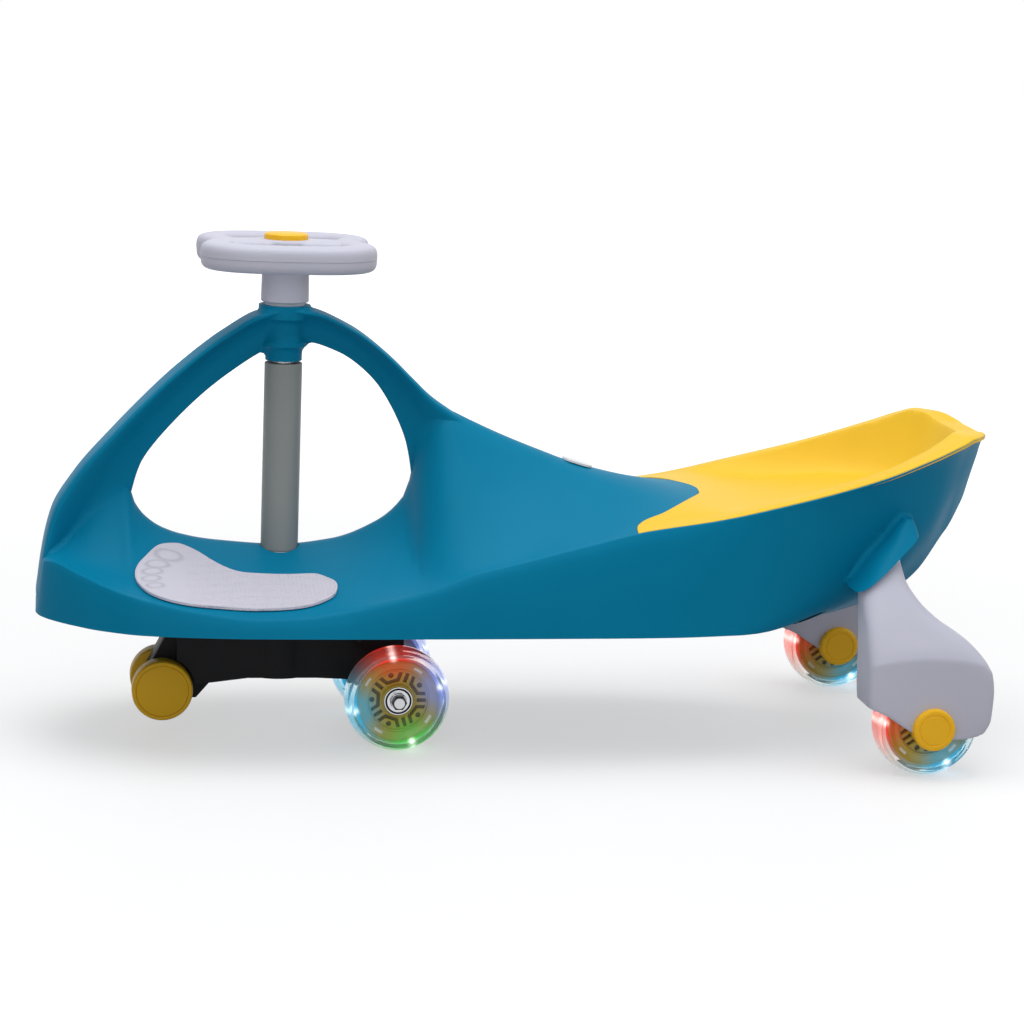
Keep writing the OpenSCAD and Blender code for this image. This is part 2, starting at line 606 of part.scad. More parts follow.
// Badge pad on the hump
module badge_pad() {
    tilt = atan((ridge_z(badge_share - 0.01) - ridge_z(badge_share + 0.01)) / (0.02 * body_l));
    color([0.85, 0.85, 0.88]) translate([body_x(badge_share), 0, ridge_z(badge_share)]) rotate([0, -tilt, 0])
        translate([0, 0, moulded_gap]) hull() {
            for (end = [-1, 1]) translate([end * (badge_l - badge_w) / 2, 0, 0])
                cylinder(d = badge_w, h = badge_t, $fn = 32);
        }
}

// Bushes
module upper_bush() {
    color([0.9, 0.9, 0.88]) translate([column_x, 0, 0]) difference() {
        union() {
            translate([0, 0, boss_low_z])
                cylinder(r = upper_bush_r, h = collar_top_z - boss_low_z + flange_t);
            translate([0, 0, collar_top_z]) cylinder(r = neck_d / 2 - wall, h = flange_t);
        }
        translate([0, 0, boss_low_z - over]) cylinder(r = shaft_r + running, h = arch_z);
    }
}
module lower_bush() {
    color([0.9, 0.9, 0.88]) translate([column_x, 0, 0]) difference() {
        union() {
            translate([0, 0, deck_boss_z])
                cylinder(r = lower_bush_r, h = lower_flange_z - deck_boss_z + flange_t);
            translate([0, 0, lower_flange_z]) cylinder(d = sleeve_d, h = flange_t);
        }
        translate([0, 0, deck_boss_z - over]) cylinder(r = shaft_r + running, h = arch_z);
    }
}

// Steering column
nut_seat_z = truck_low_z + shaft_r + flange_t;
shaft_low_z = truck_low_z;
module steering_shaft() {
    color([0.6, 0.62, 0.63]) translate([column_x, 0, shaft_low_z])
        cylinder(r = shaft_r, h = parting_z - shaft_low_z);
}
module column_sleeve() {
    color([0.5, 0.52, 0.51]) translate([column_x, 0, sleeve_low_z]) difference() {
        cylinder(d = sleeve_d, h = sleeve_top_z - sleeve_low_z);
        translate([0, 0, -over])
            cylinder(d = sleeve_d - 2 * sleeve_wall, h = sleeve_top_z - sleeve_low_z + 2 * over);
    }
}
module sleeve_inserts() {
    h = sleeve_d / 2;
    color([0.1, 0.1, 0.1]) for (z = [sleeve_low_z, sleeve_top_z - h]) translate([column_x, 0, z])
        washer(sleeve_d / 2 - sleeve_wall - snug, shaft_r + snug, h);
}
module thrust_washer() {
    color([0.85, 0.85, 0.85]) translate([column_x, 0, truck_top_z])
        washer(deck_boss_r - wall, shaft_r + snug, washer_t);
}
module bottom_washer() {
    color([0.7, 0.7, 0.72]) translate([column_x, 0, nut_seat_z - flange_t])
        washer(shaft_d, shaft_r + snug, flange_t);
}
module bottom_nut() {
    color([0.7, 0.7, 0.72]) translate([column_x, 0, nut_seat_z - flange_t - shaft_r])
        hex_nut(1.6 * shaft_d, shaft_r + snug, shaft_r);
}
module hub_neck() {
    color([0.72, 0.72, 0.78]) translate([column_x, 0, neck_low_z]) washer(neck_d / 2, shaft_r + snug, neck_l);
}

// Steering wheel: a rim along a rounded outline that is drawn in at front and back
waist_share = 0.2;
waist_reach_share = 0.32;
round_power = 0.62;
grip_steps = 48;
hub_r = cap_d / 2 + wall;
wheel_screw_x = neck_d / 2 + 2 * screw_head_r;
wheel_screw_y = hub_r * 0.36;
module wheel_screw_holes(stem_r) {
    for (x = [-1, 1], y = [-1, 1]) translate([x * wheel_screw_x, y * wheel_screw_y, 0]) {
        translate([0, 0, -lower_h]) cylinder(r = stem_r, h = lower_h + upper_h / 2 + snug, $fn = small_sides);
        translate([0, 0, -2 * lower_h])
            cylinder(r = screw_head_r + moulded_gap, h = 1.5 * lower_h, $fn = small_sides);
    }
}
function grip_point(a) =
    let (y = (grip_w - rim_w) / 2 * sign(sin(a)) * pow(abs(sin(a)), round_power),
         drawn = 1 - waist_share * exp(-pow(y / (grip_w * waist_reach_share / 2), 2)),
         x = (grip_l - rim_w) / 2 * sign(cos(a)) * pow(abs(cos(a)), round_power))
    [x * drawn, y];
function grip_normal(a) =
    let (d = grip_point(a + 2) - grip_point(a - 2)) [d[1], -d[0]] / norm(d);
// Half section of the rim, in shares of its half width and of its height
rim_shares = [[-1, 0], [-1, 0.3], [-0.8, 0.75], [-0.4, 1], [0.4, 1], [0.8, 0.75], [1, 0.3], [1, 0]];
module grip_half(h) {
    ring_loft([for (i = [0:grip_steps - 1])
        let (a = 360 * i / grip_steps, p = grip_point(a), n = grip_normal(a))
        [for (c = rim_shares) [p[0] + n[0] * c[0] * rim_w / 2, p[1] + n[1] * c[0] * rim_w / 2, c[1] * h]]]);
}
module grip_webs(h) {
    reach = (grip_l - rim_w) / 2 * (1 - waist_share);
    for (end = [-1, 1], part = [0.25, 0.5, 0.75, 1]) hull() {
        cylinder(r = hub_r, h = h, $fn = 2 * small_sides);
        translate([end * reach * part, 0, 0]) cylinder(r = hub_r * 0.8, h = h * 0.8, $fn = 2 * small_sides);
    }
}
module wheel_upper() {
    color([0.74, 0.74, 0.8]) translate([column_x, 0, parting_z]) difference() {
        union() {
            grip_half(upper_h);
            grip_webs(upper_h);
        }
        translate([0, 0, upper_h - head_h]) cylinder(r = shaft_r + moulded_gap, h = upper_h);
        translate([0, 0, -over]) cylinder(r = axle_r + moulded_gap, h = 2 * upper_h);
        wheel_screw_holes(screw_r + snug);
    }
}
module wheel_lower() {
    color([0.72, 0.72, 0.78]) translate([column_x, 0, parting_z]) difference() {
        mirror([0, 0, 1]) {
            grip_half(lower_h);
            grip_webs(lower_h);
        }
        translate([0, 0, -lower_h - over]) cylinder(r = shaft_r + moulded_gap, h = 2 * lower_h);
        wheel_screw_holes(screw_r + moulded_gap);
    }
}
module hub_bolt() {
    stem_l = upper_h - head_h;
    color([0.7, 0.7, 0.72]) translate([column_x, 0, parting_z]) {
        cylinder(r = axle_r, h = stem_l);
        translate([0, 0, stem_l]) cylinder(d = head_across, h = head_h - snug, $fn = 6);
    }
}
module steering_cap() {
    color([0.97, 0.72, 0.12]) translate([column_x, 0, wheel_top_z]) rotate_extrude() polygon([
        [0, 0], [cap_d / 2, 0], [cap_d / 2, cap_h / 2], [cap_d / 2 - cap_h / 4, cap_h * 0.8],
        [cap_d / 2 - cap_h, cap_h * 0.95], [0, cap_h]]);
}
// Screws that hold the two halves together, driven upwards
module wheel_screws() {
    color([0.7, 0.7, 0.72]) translate([column_x, 0, parting_z]) for (x = [-1, 1], y = [-1, 1])
        translate([x * wheel_screw_x, y * wheel_screw_y, 0]) {
            translate([0, 0, -lower_h / 2]) cylinder(r = screw_r, h = lower_h / 2 + upper_h / 2);
            translate([0, 0, -lower_h / 2 - screw_r]) cylinder(r = screw_head_r, h = screw_r);
        }
}

// Truck arm: side outline in steps back from the column and up from the floor
arm_half = arm_w / 2;
blade_half = safety_track / 2 - safety_w / 2 - end_gap - flange_t / 2;
axle_block_half = front_track / 2 - bearing_r - 2 * end_gap - flange_t;
arm_low_share = 0.9;
module arm_side(half, points) {
    translate([column_x, half, 0]) rotate([90, 0, 0]) linear_extrude(height = 2 * half) polygon(points);
}
module truck_arm() {
    tail = front_axle_back + axle_d;
    front = safety_ahead * 0.88;
    blade_tip = safety_ahead + safety_d * 0.28;
    color([0.07, 0.07, 0.08]) difference() {
        union() {
            arm_side(arm_half, [
                [-tail, truck_top_z], [-tail, wheel_r - axle_d], [-tail * 0.85, wheel_r - axle_d],
                [-tail * 0.62, truck_low_z * 0.97], [-tail * 0.3, truck_low_z], [tail * 0.25, truck_low_z],
                [front * 0.8, truck_low_z * arm_low_share], [front, truck_low_z * arm_low_share],
                [front, truck_top_z]]);
            arm_side(blade_half, [
                [front * 0.6, truck_low_z], [front * 0.8, safety_z - safety_d * 0.2],
                [blade_tip, safety_z - safety_d * 0.2], [blade_tip, safety_z + safety_d * 0.2],
                [front, truck_top_z - wall], [front * 0.6, truck_top_z - wall]]);
            translate([front_axle_x, 0, wheel_r]) cross_rod(axle_d * 2, -axle_block_half, axle_block_half);
            translate([column_x, 0, truck_low_z])
                cylinder(r = arm_half + wall, h = truck_top_z - truck_low_z);
        }
        for (side = [-1, 1]) translate([safety_x, side * (blade_half + arm_half), safety_z])
            cross_rod(safety_d / 2 + flange_t, -arm_half, arm_half);
        translate([column_x, 0, 0]) cylinder(r = shaft_r + snug, h = arch_z);
        translate([column_x, 0, 0]) cylinder(r = shaft_d + moulded_gap, h = nut_seat_z);
        translate([front_axle_x, 0, wheel_r]) cross_rod(axle_r + snug, -front_track, front_track);
        translate([safety_x, 0, safety_z]) cross_rod(safety_axle_d / 2 + snug, -front_track, front_track);
    }
}

// Light-up wheel, round its own axle along Y
hub_half = bearing_r;
tyre_half = wheel_w / 2;
tyre_in_r = wheel_r - tyre_depth;
light_in_r = tyre_in_r - snug - light_depth;
hub_out_r = light_in_r - snug;
land_r = bearing_r - 1.5 * flange_t / 2;
module about_y(at) {
    translate(at) rotate([-90, 0, 0]) children();
}
module tyre(at) {
    round_share = 0.7;
    steps = 6;
    color([0.85, 0.87, 0.88, 0.5]) about_y(at) rotate_extrude() polygon(concat(
        [[tyre_in_r, -tyre_half], [tyre_in_r, tyre_half]],
        [for (i = [0:steps]) let (a = 90 - 180 * i / steps)
            [wheel_r - tyre_depth * round_share * (1 - cos(a)), tyre_half * sin(a)]]));
}
module light_ring(at) {
    color([0.6, 0.8, 0.95]) about_y(at) rotate_extrude() polygon([
        [light_in_r, -tyre_half * 0.7], [light_in_r + light_depth, -tyre_half * 0.7],
        [light_in_r + light_depth, tyre_half * 0.7], [light_in_r, tyre_half * 0.7]]);
}
spoke_holes = 5;
module wheel_hub(at) {
    web_half = hub_half * 0.6;
    core_r = bearing_r + wall;
    rim_r = hub_out_r - wall;
    hole_at_r = mix(core_r, rim_r, 0.55);
    color([0.85, 0.62, 0.15]) about_y(at) difference() {
        rotate_extrude() polygon([
            [bearing_r + snug, -hub_half], [core_r, -hub_half], [core_r, -web_half], [rim_r, -web_half],
            [rim_r, -hub_half], [hub_out_r, -hub_half], [hub_out_r, hub_half], [rim_r, hub_half],
            [rim_r, web_half], [core_r, web_half], [core_r, hub_half], [bearing_r + snug, hub_half],
            [bearing_r + snug, hub_half - bearing_w - snug], [land_r, hub_half - bearing_w - snug],
            [land_r, bearing_w + snug - hub_half], [bearing_r + snug, bearing_w + snug - hub_half]]);
        for (i = [0:spoke_holes - 1]) rotate([0, 0, 360 * i / spoke_holes]) {
            translate([hole_at_r, 0, -hub_half]) cylinder(r = screw_r, h = 2 * hub_half);
            rotate([0, 0, 180 / spoke_holes]) translate([hole_at_r - axle_r, -screw_r / 2, -hub_half])
                cube([axle_d, screw_r, 2 * hub_half]);
        }
    }
}
module bearings(at) {
    color([0.75, 0.76, 0.78]) translate(at) for (y = [hub_half - bearing_w, -hub_half])
        cross_ring(bearing_r, axle_r + running, y, y + bearing_w);
}
module magnet_sleeves(places) {
    half = hub_half - bearing_w - end_gap;
    color([0.35, 0.35, 0.38]) for (at = places) translate(at)
        cross_ring(land_r - flange_t, axle_r + snug, -half, half);
}
front_left = [front_axle_x, front_track / 2, wheel_r];
front_right = [front_axle_x, -front_track / 2, wheel_r];
rear_left = [rear_axle_x, rear_track / 2, wheel_r];
rear_right = [rear_axle_x, -rear_track / 2, wheel_r];

// Front axle
front_out_y = front_track / 2 + hub_half;
nut_h = axle_d * 0.6;
spacer_r = axle_r + flange_t;
module front_axle() {
    end = front_out_y + end_gap + flange_t + nut_h + end_gap;
    color([0.7, 0.7, 0.72]) translate([front_axle_x, 0, wheel_r]) cross_rod(axle_r, -end, end);
}
module front_spacers() {
    color([0.8, 0.8, 0.82]) for (side = [-1, 1]) translate([front_axle_x, 0, wheel_r]) {
        a = side * (front_track / 2 - hub_half - end_gap);
        b = side * axle_block_half;
        cross_ring(spacer_r, axle_r + snug, min(a, b), max(a, b));
        c = side * (front_out_y + end_gap);
        d = side * (front_out_y + end_gap + flange_t);
        cross_ring(spacer_r, axle_r + snug, min(c, d), max(c, d));
    }
}
module front_nuts() {
    at_y = front_out_y + end_gap + flange_t;
    color([0.7, 0.7, 0.72]) for (side = [-1, 1])
        translate([front_axle_x, side > 0 ? at_y : -at_y - nut_h, wheel_r]) rotate([-90, 0, 0])
            hex_nut(head_across, axle_r + snug, nut_h);
}

// Safety wheels
safety_r = safety_d / 2;
cover_r = safety_r * 0.86;
cover_t = flange_t;
module safety_axle() {
    end = safety_track / 2 + safety_w / 2 - cover_t - end_gap;
    color([0.7, 0.7, 0.72]) translate([safety_x, 0, safety_z]) cross_rod(safety_axle_d / 2, -end, end);
}
module safety_wheel(side) {
    half = safety_w / 2;
    edge = cover_t;
    bore_r = safety_axle_d / 2 + running;
    color([0.83, 0.62, 0.12]) translate([safety_x, side * safety_track / 2, safety_z])
        rotate([-90 * side, 0, 0])
        rotate_extrude() polygon([
            [bore_r, -half], [safety_r - edge, -half], [safety_r, edge - half], [safety_r, half - edge],
            [safety_r - edge, half], [cover_r + snug, half], [cover_r + snug, half - cover_t],
            [bore_r, half - cover_t]]);
}
module safety_cover(side) {
    half = safety_w / 2;
    color([0.86, 0.65, 0.14]) translate([safety_x, side * safety_track / 2, safety_z])
        rotate([-90 * side, 0, 0])
        translate([0, 0, half - cover_t]) rotate_extrude() polygon([
            [0, 0], [cover_r, 0], [cover_r, cover_t], [0, cover_t]]);
}

// Rear legs
module wheel_slot() {
    r = wheel_r + slot_room;
    translate([0, 0, wheel_r]) hull() {
        cross_rod(r, -slot_w / 2, slot_w / 2);
        translate([-r, -slot_w / 2, -2 * wheel_r]) cube([2 * r, slot_w, wheel_r]);
    }
}
low_cut_shares = [[-0.7, 0.33], [-0.4, 0.29], [-0.1, 0.195], [0.2, 0.17], [0.42, 0.2], [0.7, 0.3]];
module leg_low_cut() {
    translate([0, leg_w, 0]) rotate([90, 0, 0]) linear_extrude(height = 2 * leg_w) polygon(concat(
        [for (c = low_cut_shares) [-c[0] * leg_l, c[1] * leg_top_z]],
        [[-leg_l, 0], [leg_l, 0]]));
}
module rear_leg(side) {
    color([0.72, 0.72, 0.78]) at_leg(side) difference() {
        leg_form(0);
        leg_low_cut();
        leg_screw_holes(screw_r + snug, screw_head_r + moulded_gap);
        wheel_slot();
        translate([0, 0, wheel_r]) {
            cross_rod(axle_hole_r, -leg_w, leg_w);
            for (end = [-1, 1])
                cross_rod(axle_cap_d / 2 + moulded_gap, min(end * leg_face_w, end * leg_w),
                    max(end * leg_face_w, end * leg_w));
        }
    }
}
module rear_axle(side) {
    color([0.7, 0.7, 0.72]) at_leg(side) translate([0, 0, wheel_r]) {
        cross_rod(axle_r, -leg_face_w - nut_h, leg_face_w);
        translate([0, leg_face_w, 0]) rotate([-90, 0, 0]) cylinder(d = head_across, h = head_h, $fn = 6);
    }
}
module rear_nuts() {
    color([0.7, 0.7, 0.72]) for (side = [-1, 1]) at_leg(side)
        translate([0, -leg_face_w - nut_h, wheel_r]) rotate([-90, 0, 0])
            hex_nut(head_across, axle_r + snug, nut_h);
}
module rear_spacers() {
    color([0.8, 0.8, 0.82]) for (side = [-1, 1]) at_leg(side) translate([0, 0, wheel_r]) {
        cross_ring(spacer_r, axle_r + snug, hub_half + end_gap, slot_w / 2 - snug);
        cross_ring(spacer_r, axle_r + snug, snug - slot_w / 2, -hub_half - end_gap);
    }
}
module axle_cap() {
    r = axle_cap_d / 2;
    bevel = axle_cap_h / 5;
    inside_r = head_across * 0.6 + moulded_gap;
    rotate_extrude() polygon([
        [inside_r, 0], [r, 0], [r, axle_cap_h - bevel], [r - bevel, axle_cap_h], [0, axle_cap_h],
        [0, nut_h + moulded_gap], [inside_r, nut_h + moulded_gap]]);
}
module outer_caps() {
    color([0.96, 0.7, 0.1]) for (side = [-1, 1]) at_leg(side)
        translate([0, leg_face_w, wheel_r]) rotate([-90, 0, 0]) axle_cap();
}
module inner_caps() {
    color([0.96, 0.7, 0.1]) for (side = [-1, 1]) at_leg(side)
        translate([0, -leg_face_w, wheel_r]) rotate([90, 0, 0]) axle_cap();
}
// Screws that hold the legs, driven outwards from inside the body
module leg_screws() {
    color([0.7, 0.7, 0.72]) for (side = [-1, 1], c = leg_screw_shares) at_leg(side)
        translate([leg_screw_x, 0, c * leg_top_z]) {
            cross_rod(screw_r, leg_screw_y, leg_screw_y + leg_screw_l);
            cross_rod(screw_head_r, leg_screw_y - screw_r, leg_screw_y);
        }
}
// Screws that hold the seat, driven upwards from inside the body
module seat_screws() {
    color([0.7, 0.7, 0.72]) for (s = seat_screw_shares, side = [-1, 1]) at_seat_screw(s, side) {
        translate([0, 0, -end_gap]) cylinder(r = screw_r, h = under_seat - wall / 2);
        translate([0, 0, -end_gap - screw_r]) cylinder(r = 2 * screw_head_r, h = screw_r);
    }
}

body_shell();
seat_shell();
seat_screws();
foot_pad(1);  // foot_pad_left
foot_pad(-1);  // foot_pad_right
badge_pad();
upper_bush();
lower_bush();
rear_leg(1);  // rear_leg_left
rear_leg(-1);  // rear_leg_right
leg_screws();
rear_axle(1);  // rear_axle_left
rear_axle(-1);  // rear_axle_right
rear_nuts();
rear_spacers();
magnet_sleeves([rear_left, rear_right]);  // rear_magnet_sleeves
outer_caps();
inner_caps();
steering_shaft();
column_sleeve();
sleeve_inserts();
thrust_washer();
bottom_washer();
bottom_nut();
hub_neck();
wheel_upper();
wheel_lower();
wheel_screws();
hub_bolt();
steering_cap();
truck_arm();
front_axle();
front_spacers();
front_nuts();
magnet_sleeves([front_left, front_right]);  // front_magnet_sleeves
safety_axle();
tyre(front_left);  // front_left_tyre
light_ring(front_left);  // front_left_lights
wheel_hub(front_left);  // front_left_hub
bearings(front_left);  // front_left_bearings
tyre(front_right);  // front_right_tyre
light_ring(front_right);  // front_right_lights
wheel_hub(front_right);  // front_right_hub
bearings(front_right);  // front_right_bearings
tyre(rear_left);  // rear_left_tyre
light_ring(rear_left);  // rear_left_lights
wheel_hub(rear_left);  // rear_left_hub
bearings(rear_left);  // rear_left_bearings
tyre(rear_right);  // rear_right_tyre
light_ring(rear_right);  // rear_right_lights
wheel_hub(rear_right);  // rear_right_hub
bearings(rear_right);  // rear_right_bearings
safety_wheel(1);  // safety_wheel_left
safety_cover(1);  // safety_cover_left
safety_wheel(-1);  // safety_wheel_right
safety_cover(-1);  // safety_cover_right
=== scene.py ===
"""Looks of a ride-on wiggle car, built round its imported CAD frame.

Shapes are worked out with numpy in millimetres, as functions of two parameters on a grid, and
put into meshes in metres. +X is forward, +Y is the rider's left and +Z is up.
"""

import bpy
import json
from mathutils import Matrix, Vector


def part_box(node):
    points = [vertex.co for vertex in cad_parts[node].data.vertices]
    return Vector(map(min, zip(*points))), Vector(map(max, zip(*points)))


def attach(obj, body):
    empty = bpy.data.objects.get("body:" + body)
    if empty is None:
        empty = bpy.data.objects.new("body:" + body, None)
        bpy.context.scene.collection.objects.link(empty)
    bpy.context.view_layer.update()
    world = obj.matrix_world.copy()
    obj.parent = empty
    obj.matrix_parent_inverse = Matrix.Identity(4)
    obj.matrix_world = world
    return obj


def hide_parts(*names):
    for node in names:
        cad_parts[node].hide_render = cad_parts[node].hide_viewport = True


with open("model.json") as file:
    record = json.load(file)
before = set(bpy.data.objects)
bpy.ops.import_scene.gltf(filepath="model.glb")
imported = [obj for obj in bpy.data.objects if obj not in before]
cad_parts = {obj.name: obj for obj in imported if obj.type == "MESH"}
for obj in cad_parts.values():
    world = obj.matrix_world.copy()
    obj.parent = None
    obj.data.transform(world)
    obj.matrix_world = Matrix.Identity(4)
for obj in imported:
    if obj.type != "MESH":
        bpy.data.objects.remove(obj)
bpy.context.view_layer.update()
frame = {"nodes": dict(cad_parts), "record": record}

import json
import logging
import math
from dataclasses import dataclass
from enum import Enum

import bmesh
import bpy
import numpy as np
from mathutils import Matrix, Vector

LOG = logging.getLogger("wiggle_car")
MM = 0.001
DOUBLES = 1e-6
SIDES = ((1, "left"), (-1, "right"))
Pairs = tuple[tuple[float, ...], ...]
Colour = tuple[float, float, float]
Place = tuple[float, float, float]
Array = np.ndarray
Value = np.ndarray | float
Obj = bpy.types.Object
Tree = bpy.types.NodeTree
Node = bpy.types.Node
Wire = tuple[bpy.types.Node, str | int, bpy.types.Node, str | int]


def curve(pairs: Pairs, at: Value) -> Array:
    """Smooth curve through pairs of place and value, without overshoot.

    It is a cubic Hermite whose slope at a point is the harmonic mean of the chords beside it,
    and zero where they turn.

    Args:
        pairs: Places in rising order, each with its value.
        at: Places to read.
    Returns:
        The values at those places.
    """
    table = np.asarray(pairs, float)
    x, v = table[:, 0], table[:, 1]
    h = np.diff(x)
    d = np.diff(v) / h
    m = np.empty_like(v)
    m[0], m[-1] = d[0], d[-1]
    a, b = d[:-1], d[1:]
    m[1:-1] = np.where(a * b > 0, 2 * a * b / np.where(a + b == 0, 1, a + b), 0)
    i = np.clip(np.searchsorted(x, at, side="right") - 1, 0, len(x) - 2)
    u = np.clip((at - x[i]) / h[i], 0, 1)
    u2, u3 = u * u, u * u * u
    return (v[i] * (2 * u3 - 3 * u2 + 1) + m[i] * h[i] * (u3 - 2 * u2 + u)
            + v[i + 1] * (3 * u2 - 2 * u3) + m[i + 1] * h[i] * (u3 - u2))


def by_step(pairs: Pairs, column: int) -> Pairs:
    """One column of a table, with its row numbers as places."""
    return tuple((float(i), row[column]) for i, row in enumerate(pairs))


def mix(a: Value, b: Value, t: Value) -> Array:
    """The value a share t of the way from a to b."""
    return a + (b - a) * t


def ease(t: Value) -> Array:
    """Smooth step from 0 to 1."""
    c = np.clip(t, 0, 1)
    return c * c * (3 - 2 * c)


@dataclass(frozen=True)
class Fade:
    """A smooth step that rises from 0 at a start to 1 after a run, backwards if the run is below 0."""

    start: float
    run: float

    def at(self, v: Value) -> Array:
        """The step's height at v."""
        return ease((v - self.start) / self.run)


def crowded(low: float, high: float, count: int) -> Array:
    """Places from low to high that crowd towards both ends, as the cosine does."""
    return mix(low, high, (1 - np.cos(np.pi * np.arange(count + 1) / count)) / 2)


def powered(v: Array, power: Value) -> Array:
    """The size of v raised to a power, with the sign of v."""
    return np.sign(v) * np.abs(v) ** power


def bell(v: Array, reach: float = 1.0) -> Array:
    """Bell curve, 1 where v is 0."""
    return np.exp(-np.square(v / reach))


def within(d: Array, soft: float = 0.5) -> Array:
    """1 where the distance d is below 0 and 0 where it is above, with a soft edge."""
    return ease(0.5 - d / soft)


def joined(*values: Value) -> Array:
    """Arrays spread to one shape and stacked along a new last axis."""
    return np.stack(np.broadcast_arrays(*values), -1)


def both_sides(half: Array, sign: int = 1) -> Array:
    """Rows that run from the middle to one side, carried on back along the other side."""
    return np.hstack([half, sign * half[:, :0:-1]])


@dataclass
class Patch:
    """A surface in millimetres.

    points holds one row per corner, and faces holds arrays of three or four corner numbers.
    """

    points: Array
    faces: list[Array]

    @classmethod
    def grid(cls, points: Array, wrap: bool = False, loop: bool = False, cap: bool = False) -> "Patch":
        """Quads over rows and columns of points.

        Args:
            points: Array of rows, columns and coordinates.
            wrap: Joins the last column to the first.
            loop: Joins the last row to the first.
            cap: Closes the first and the last row with fans about their middles.
        Returns:
            The surface.
        """
        m, n, _ = points.shape
        i = np.arange(m if loop else m - 1)[:, None]
        j = np.arange(n if wrap else n - 1)[None, :]
        below, beside = (i + 1) % m, (j + 1) % n
        quads = joined(i * n + j, below * n + j, below * n + beside, i * n + beside)
        flat, faces = points.reshape(-1, 3), [quads.reshape(-1, 4)]
        if cap:
            k = np.arange(n)
            flat = np.vstack([flat, points[0].mean(0), points[-1].mean(0)])
            faces.append(np.stack([np.full(n, m * n), k, (k + 1) % n], -1))
            faces.append(np.stack([np.full(n, m * n + 1), (m - 1) * n + (k + 1) % n, (m - 1) * n + k], -1))
        return cls(flat, faces)

    @classmethod
    def slab(cls, top: Array, bottom: Array) -> "Patch":
        """Closed solid between two grids of the same size, with walls along the four borders."""
        m, n, _ = top.shape
        flat = np.concatenate([top.reshape(-1, 3), bottom.reshape(-1, 3)])
        upper = cls.grid(top).faces[0]
        j, i = np.arange(n), np.arange(m) * n
        walls = [np.stack([a[:-1], a[1:], a[1:] + m * n, a[:-1] + m * n], -1)[:, ::turn]
                 for a, turn in ((j, 1), (j + (m - 1) * n, -1), (i, -1), (i + n - 1, 1))]
        return cls(flat, [upper, upper[:, ::-1] + m * n, *walls])

    @classmethod
    def turned(cls, profile: Pairs | Array, steps: int = 96, closed: bool = False) -> "Patch":
        """Profile of radius and height carried round the Z axis, joined end to end if closed."""
        a = 2 * np.pi * np.arange(steps) / steps
        r, z = np.asarray(profile, float).T[:, :, None]
        return cls.grid(joined(r * np.cos(a), r * np.sin(a), z), wrap=True, loop=closed)

    @classmethod
    def block(cls, x: Array, z: Array, low_y: float, high_y: float) -> "Patch":
        """Closed block with a given outline in X and Z, carried from one place along Y to another."""
        ring = np.stack([x, 0 * x, z], -1)
        return cls.grid(np.stack([ring + [0, low_y, 0], ring + [0, high_y, 0]]), wrap=True, cap=True)

    @classmethod
    def merged(cls, *patches: "Patch") -> "Patch":
        """Several closed surfaces as one."""
        patches = [p.outward() for p in patches]
        starts = np.cumsum([0] + [len(p.points) for p in patches[:-1]])
        return cls(np.vstack([p.points for p in patches]),
                   [f + s for p, s in zip(patches, starts) for f in p.faces])

    def outward(self) -> "Patch":
        """The closed surface with its faces turned outwards, so that it holds a volume above 0."""
        corners = np.concatenate([self.points[f[:, [0, k, k + 1]]] for f in self.faces
                                  for k in range(1, f.shape[1] - 1)])
        corners = corners - self.points.mean(0)
        volume = np.einsum("ij,ij->", corners[:, 0], np.cross(corners[:, 1], corners[:, 2]))
        return self if volume > 0 else Patch(self.points, [f[:, ::-1] for f in self.faces])

    def moved(self, x: float = 0, y: float = 0, z: float = 0) -> "Patch":
        """The surface shifted."""
        return Patch(self.points + np.array([x, y, z]), self.faces)

    def across(self, side: int = 1) -> "Patch":
        """The surface with its Z axis laid along +Y, or along -Y for side -1."""
        x, y, z = self.points.T
        return Patch(np.stack([x, side * z, -side * y], -1), self.faces)

    def tilted(self, degrees: float) -> "Patch":
        """The surface turned about +Y."""
        c, s = math.cos(math.radians(degrees)), math.sin(math.radians(degrees))
        x, y, z = self.points.T
        return Patch(np.stack([c * x + s * z, y, c * z - s * x], -1), self.faces)

    def sided(self, side: int) -> "Patch":
        """The surface as it is for side 1, and mirrored to the right for side -1."""
        if side > 0:
            return self
        return Patch(self.points * np.array([1, -1, 1]), [f[:, ::-1] for f in self.faces])

    def piece(self, name: str) -> Obj:
        """The closed surface as an object in metres, with doubles merged."""
        mesh, closed = bpy.data.meshes.new(name), self.outward()
        mesh.from_pydata((closed.points * MM).tolist(), [], [f for a in closed.faces for f in a.tolist()])
        return Bench.linked(name, Bench.welded(mesh))


class Cut(Enum):
    """Ways to join a piece with a cutter."""

    AWAY = "DIFFERENCE"
    COMMON = "INTERSECT"
    JOINED = "UNION"


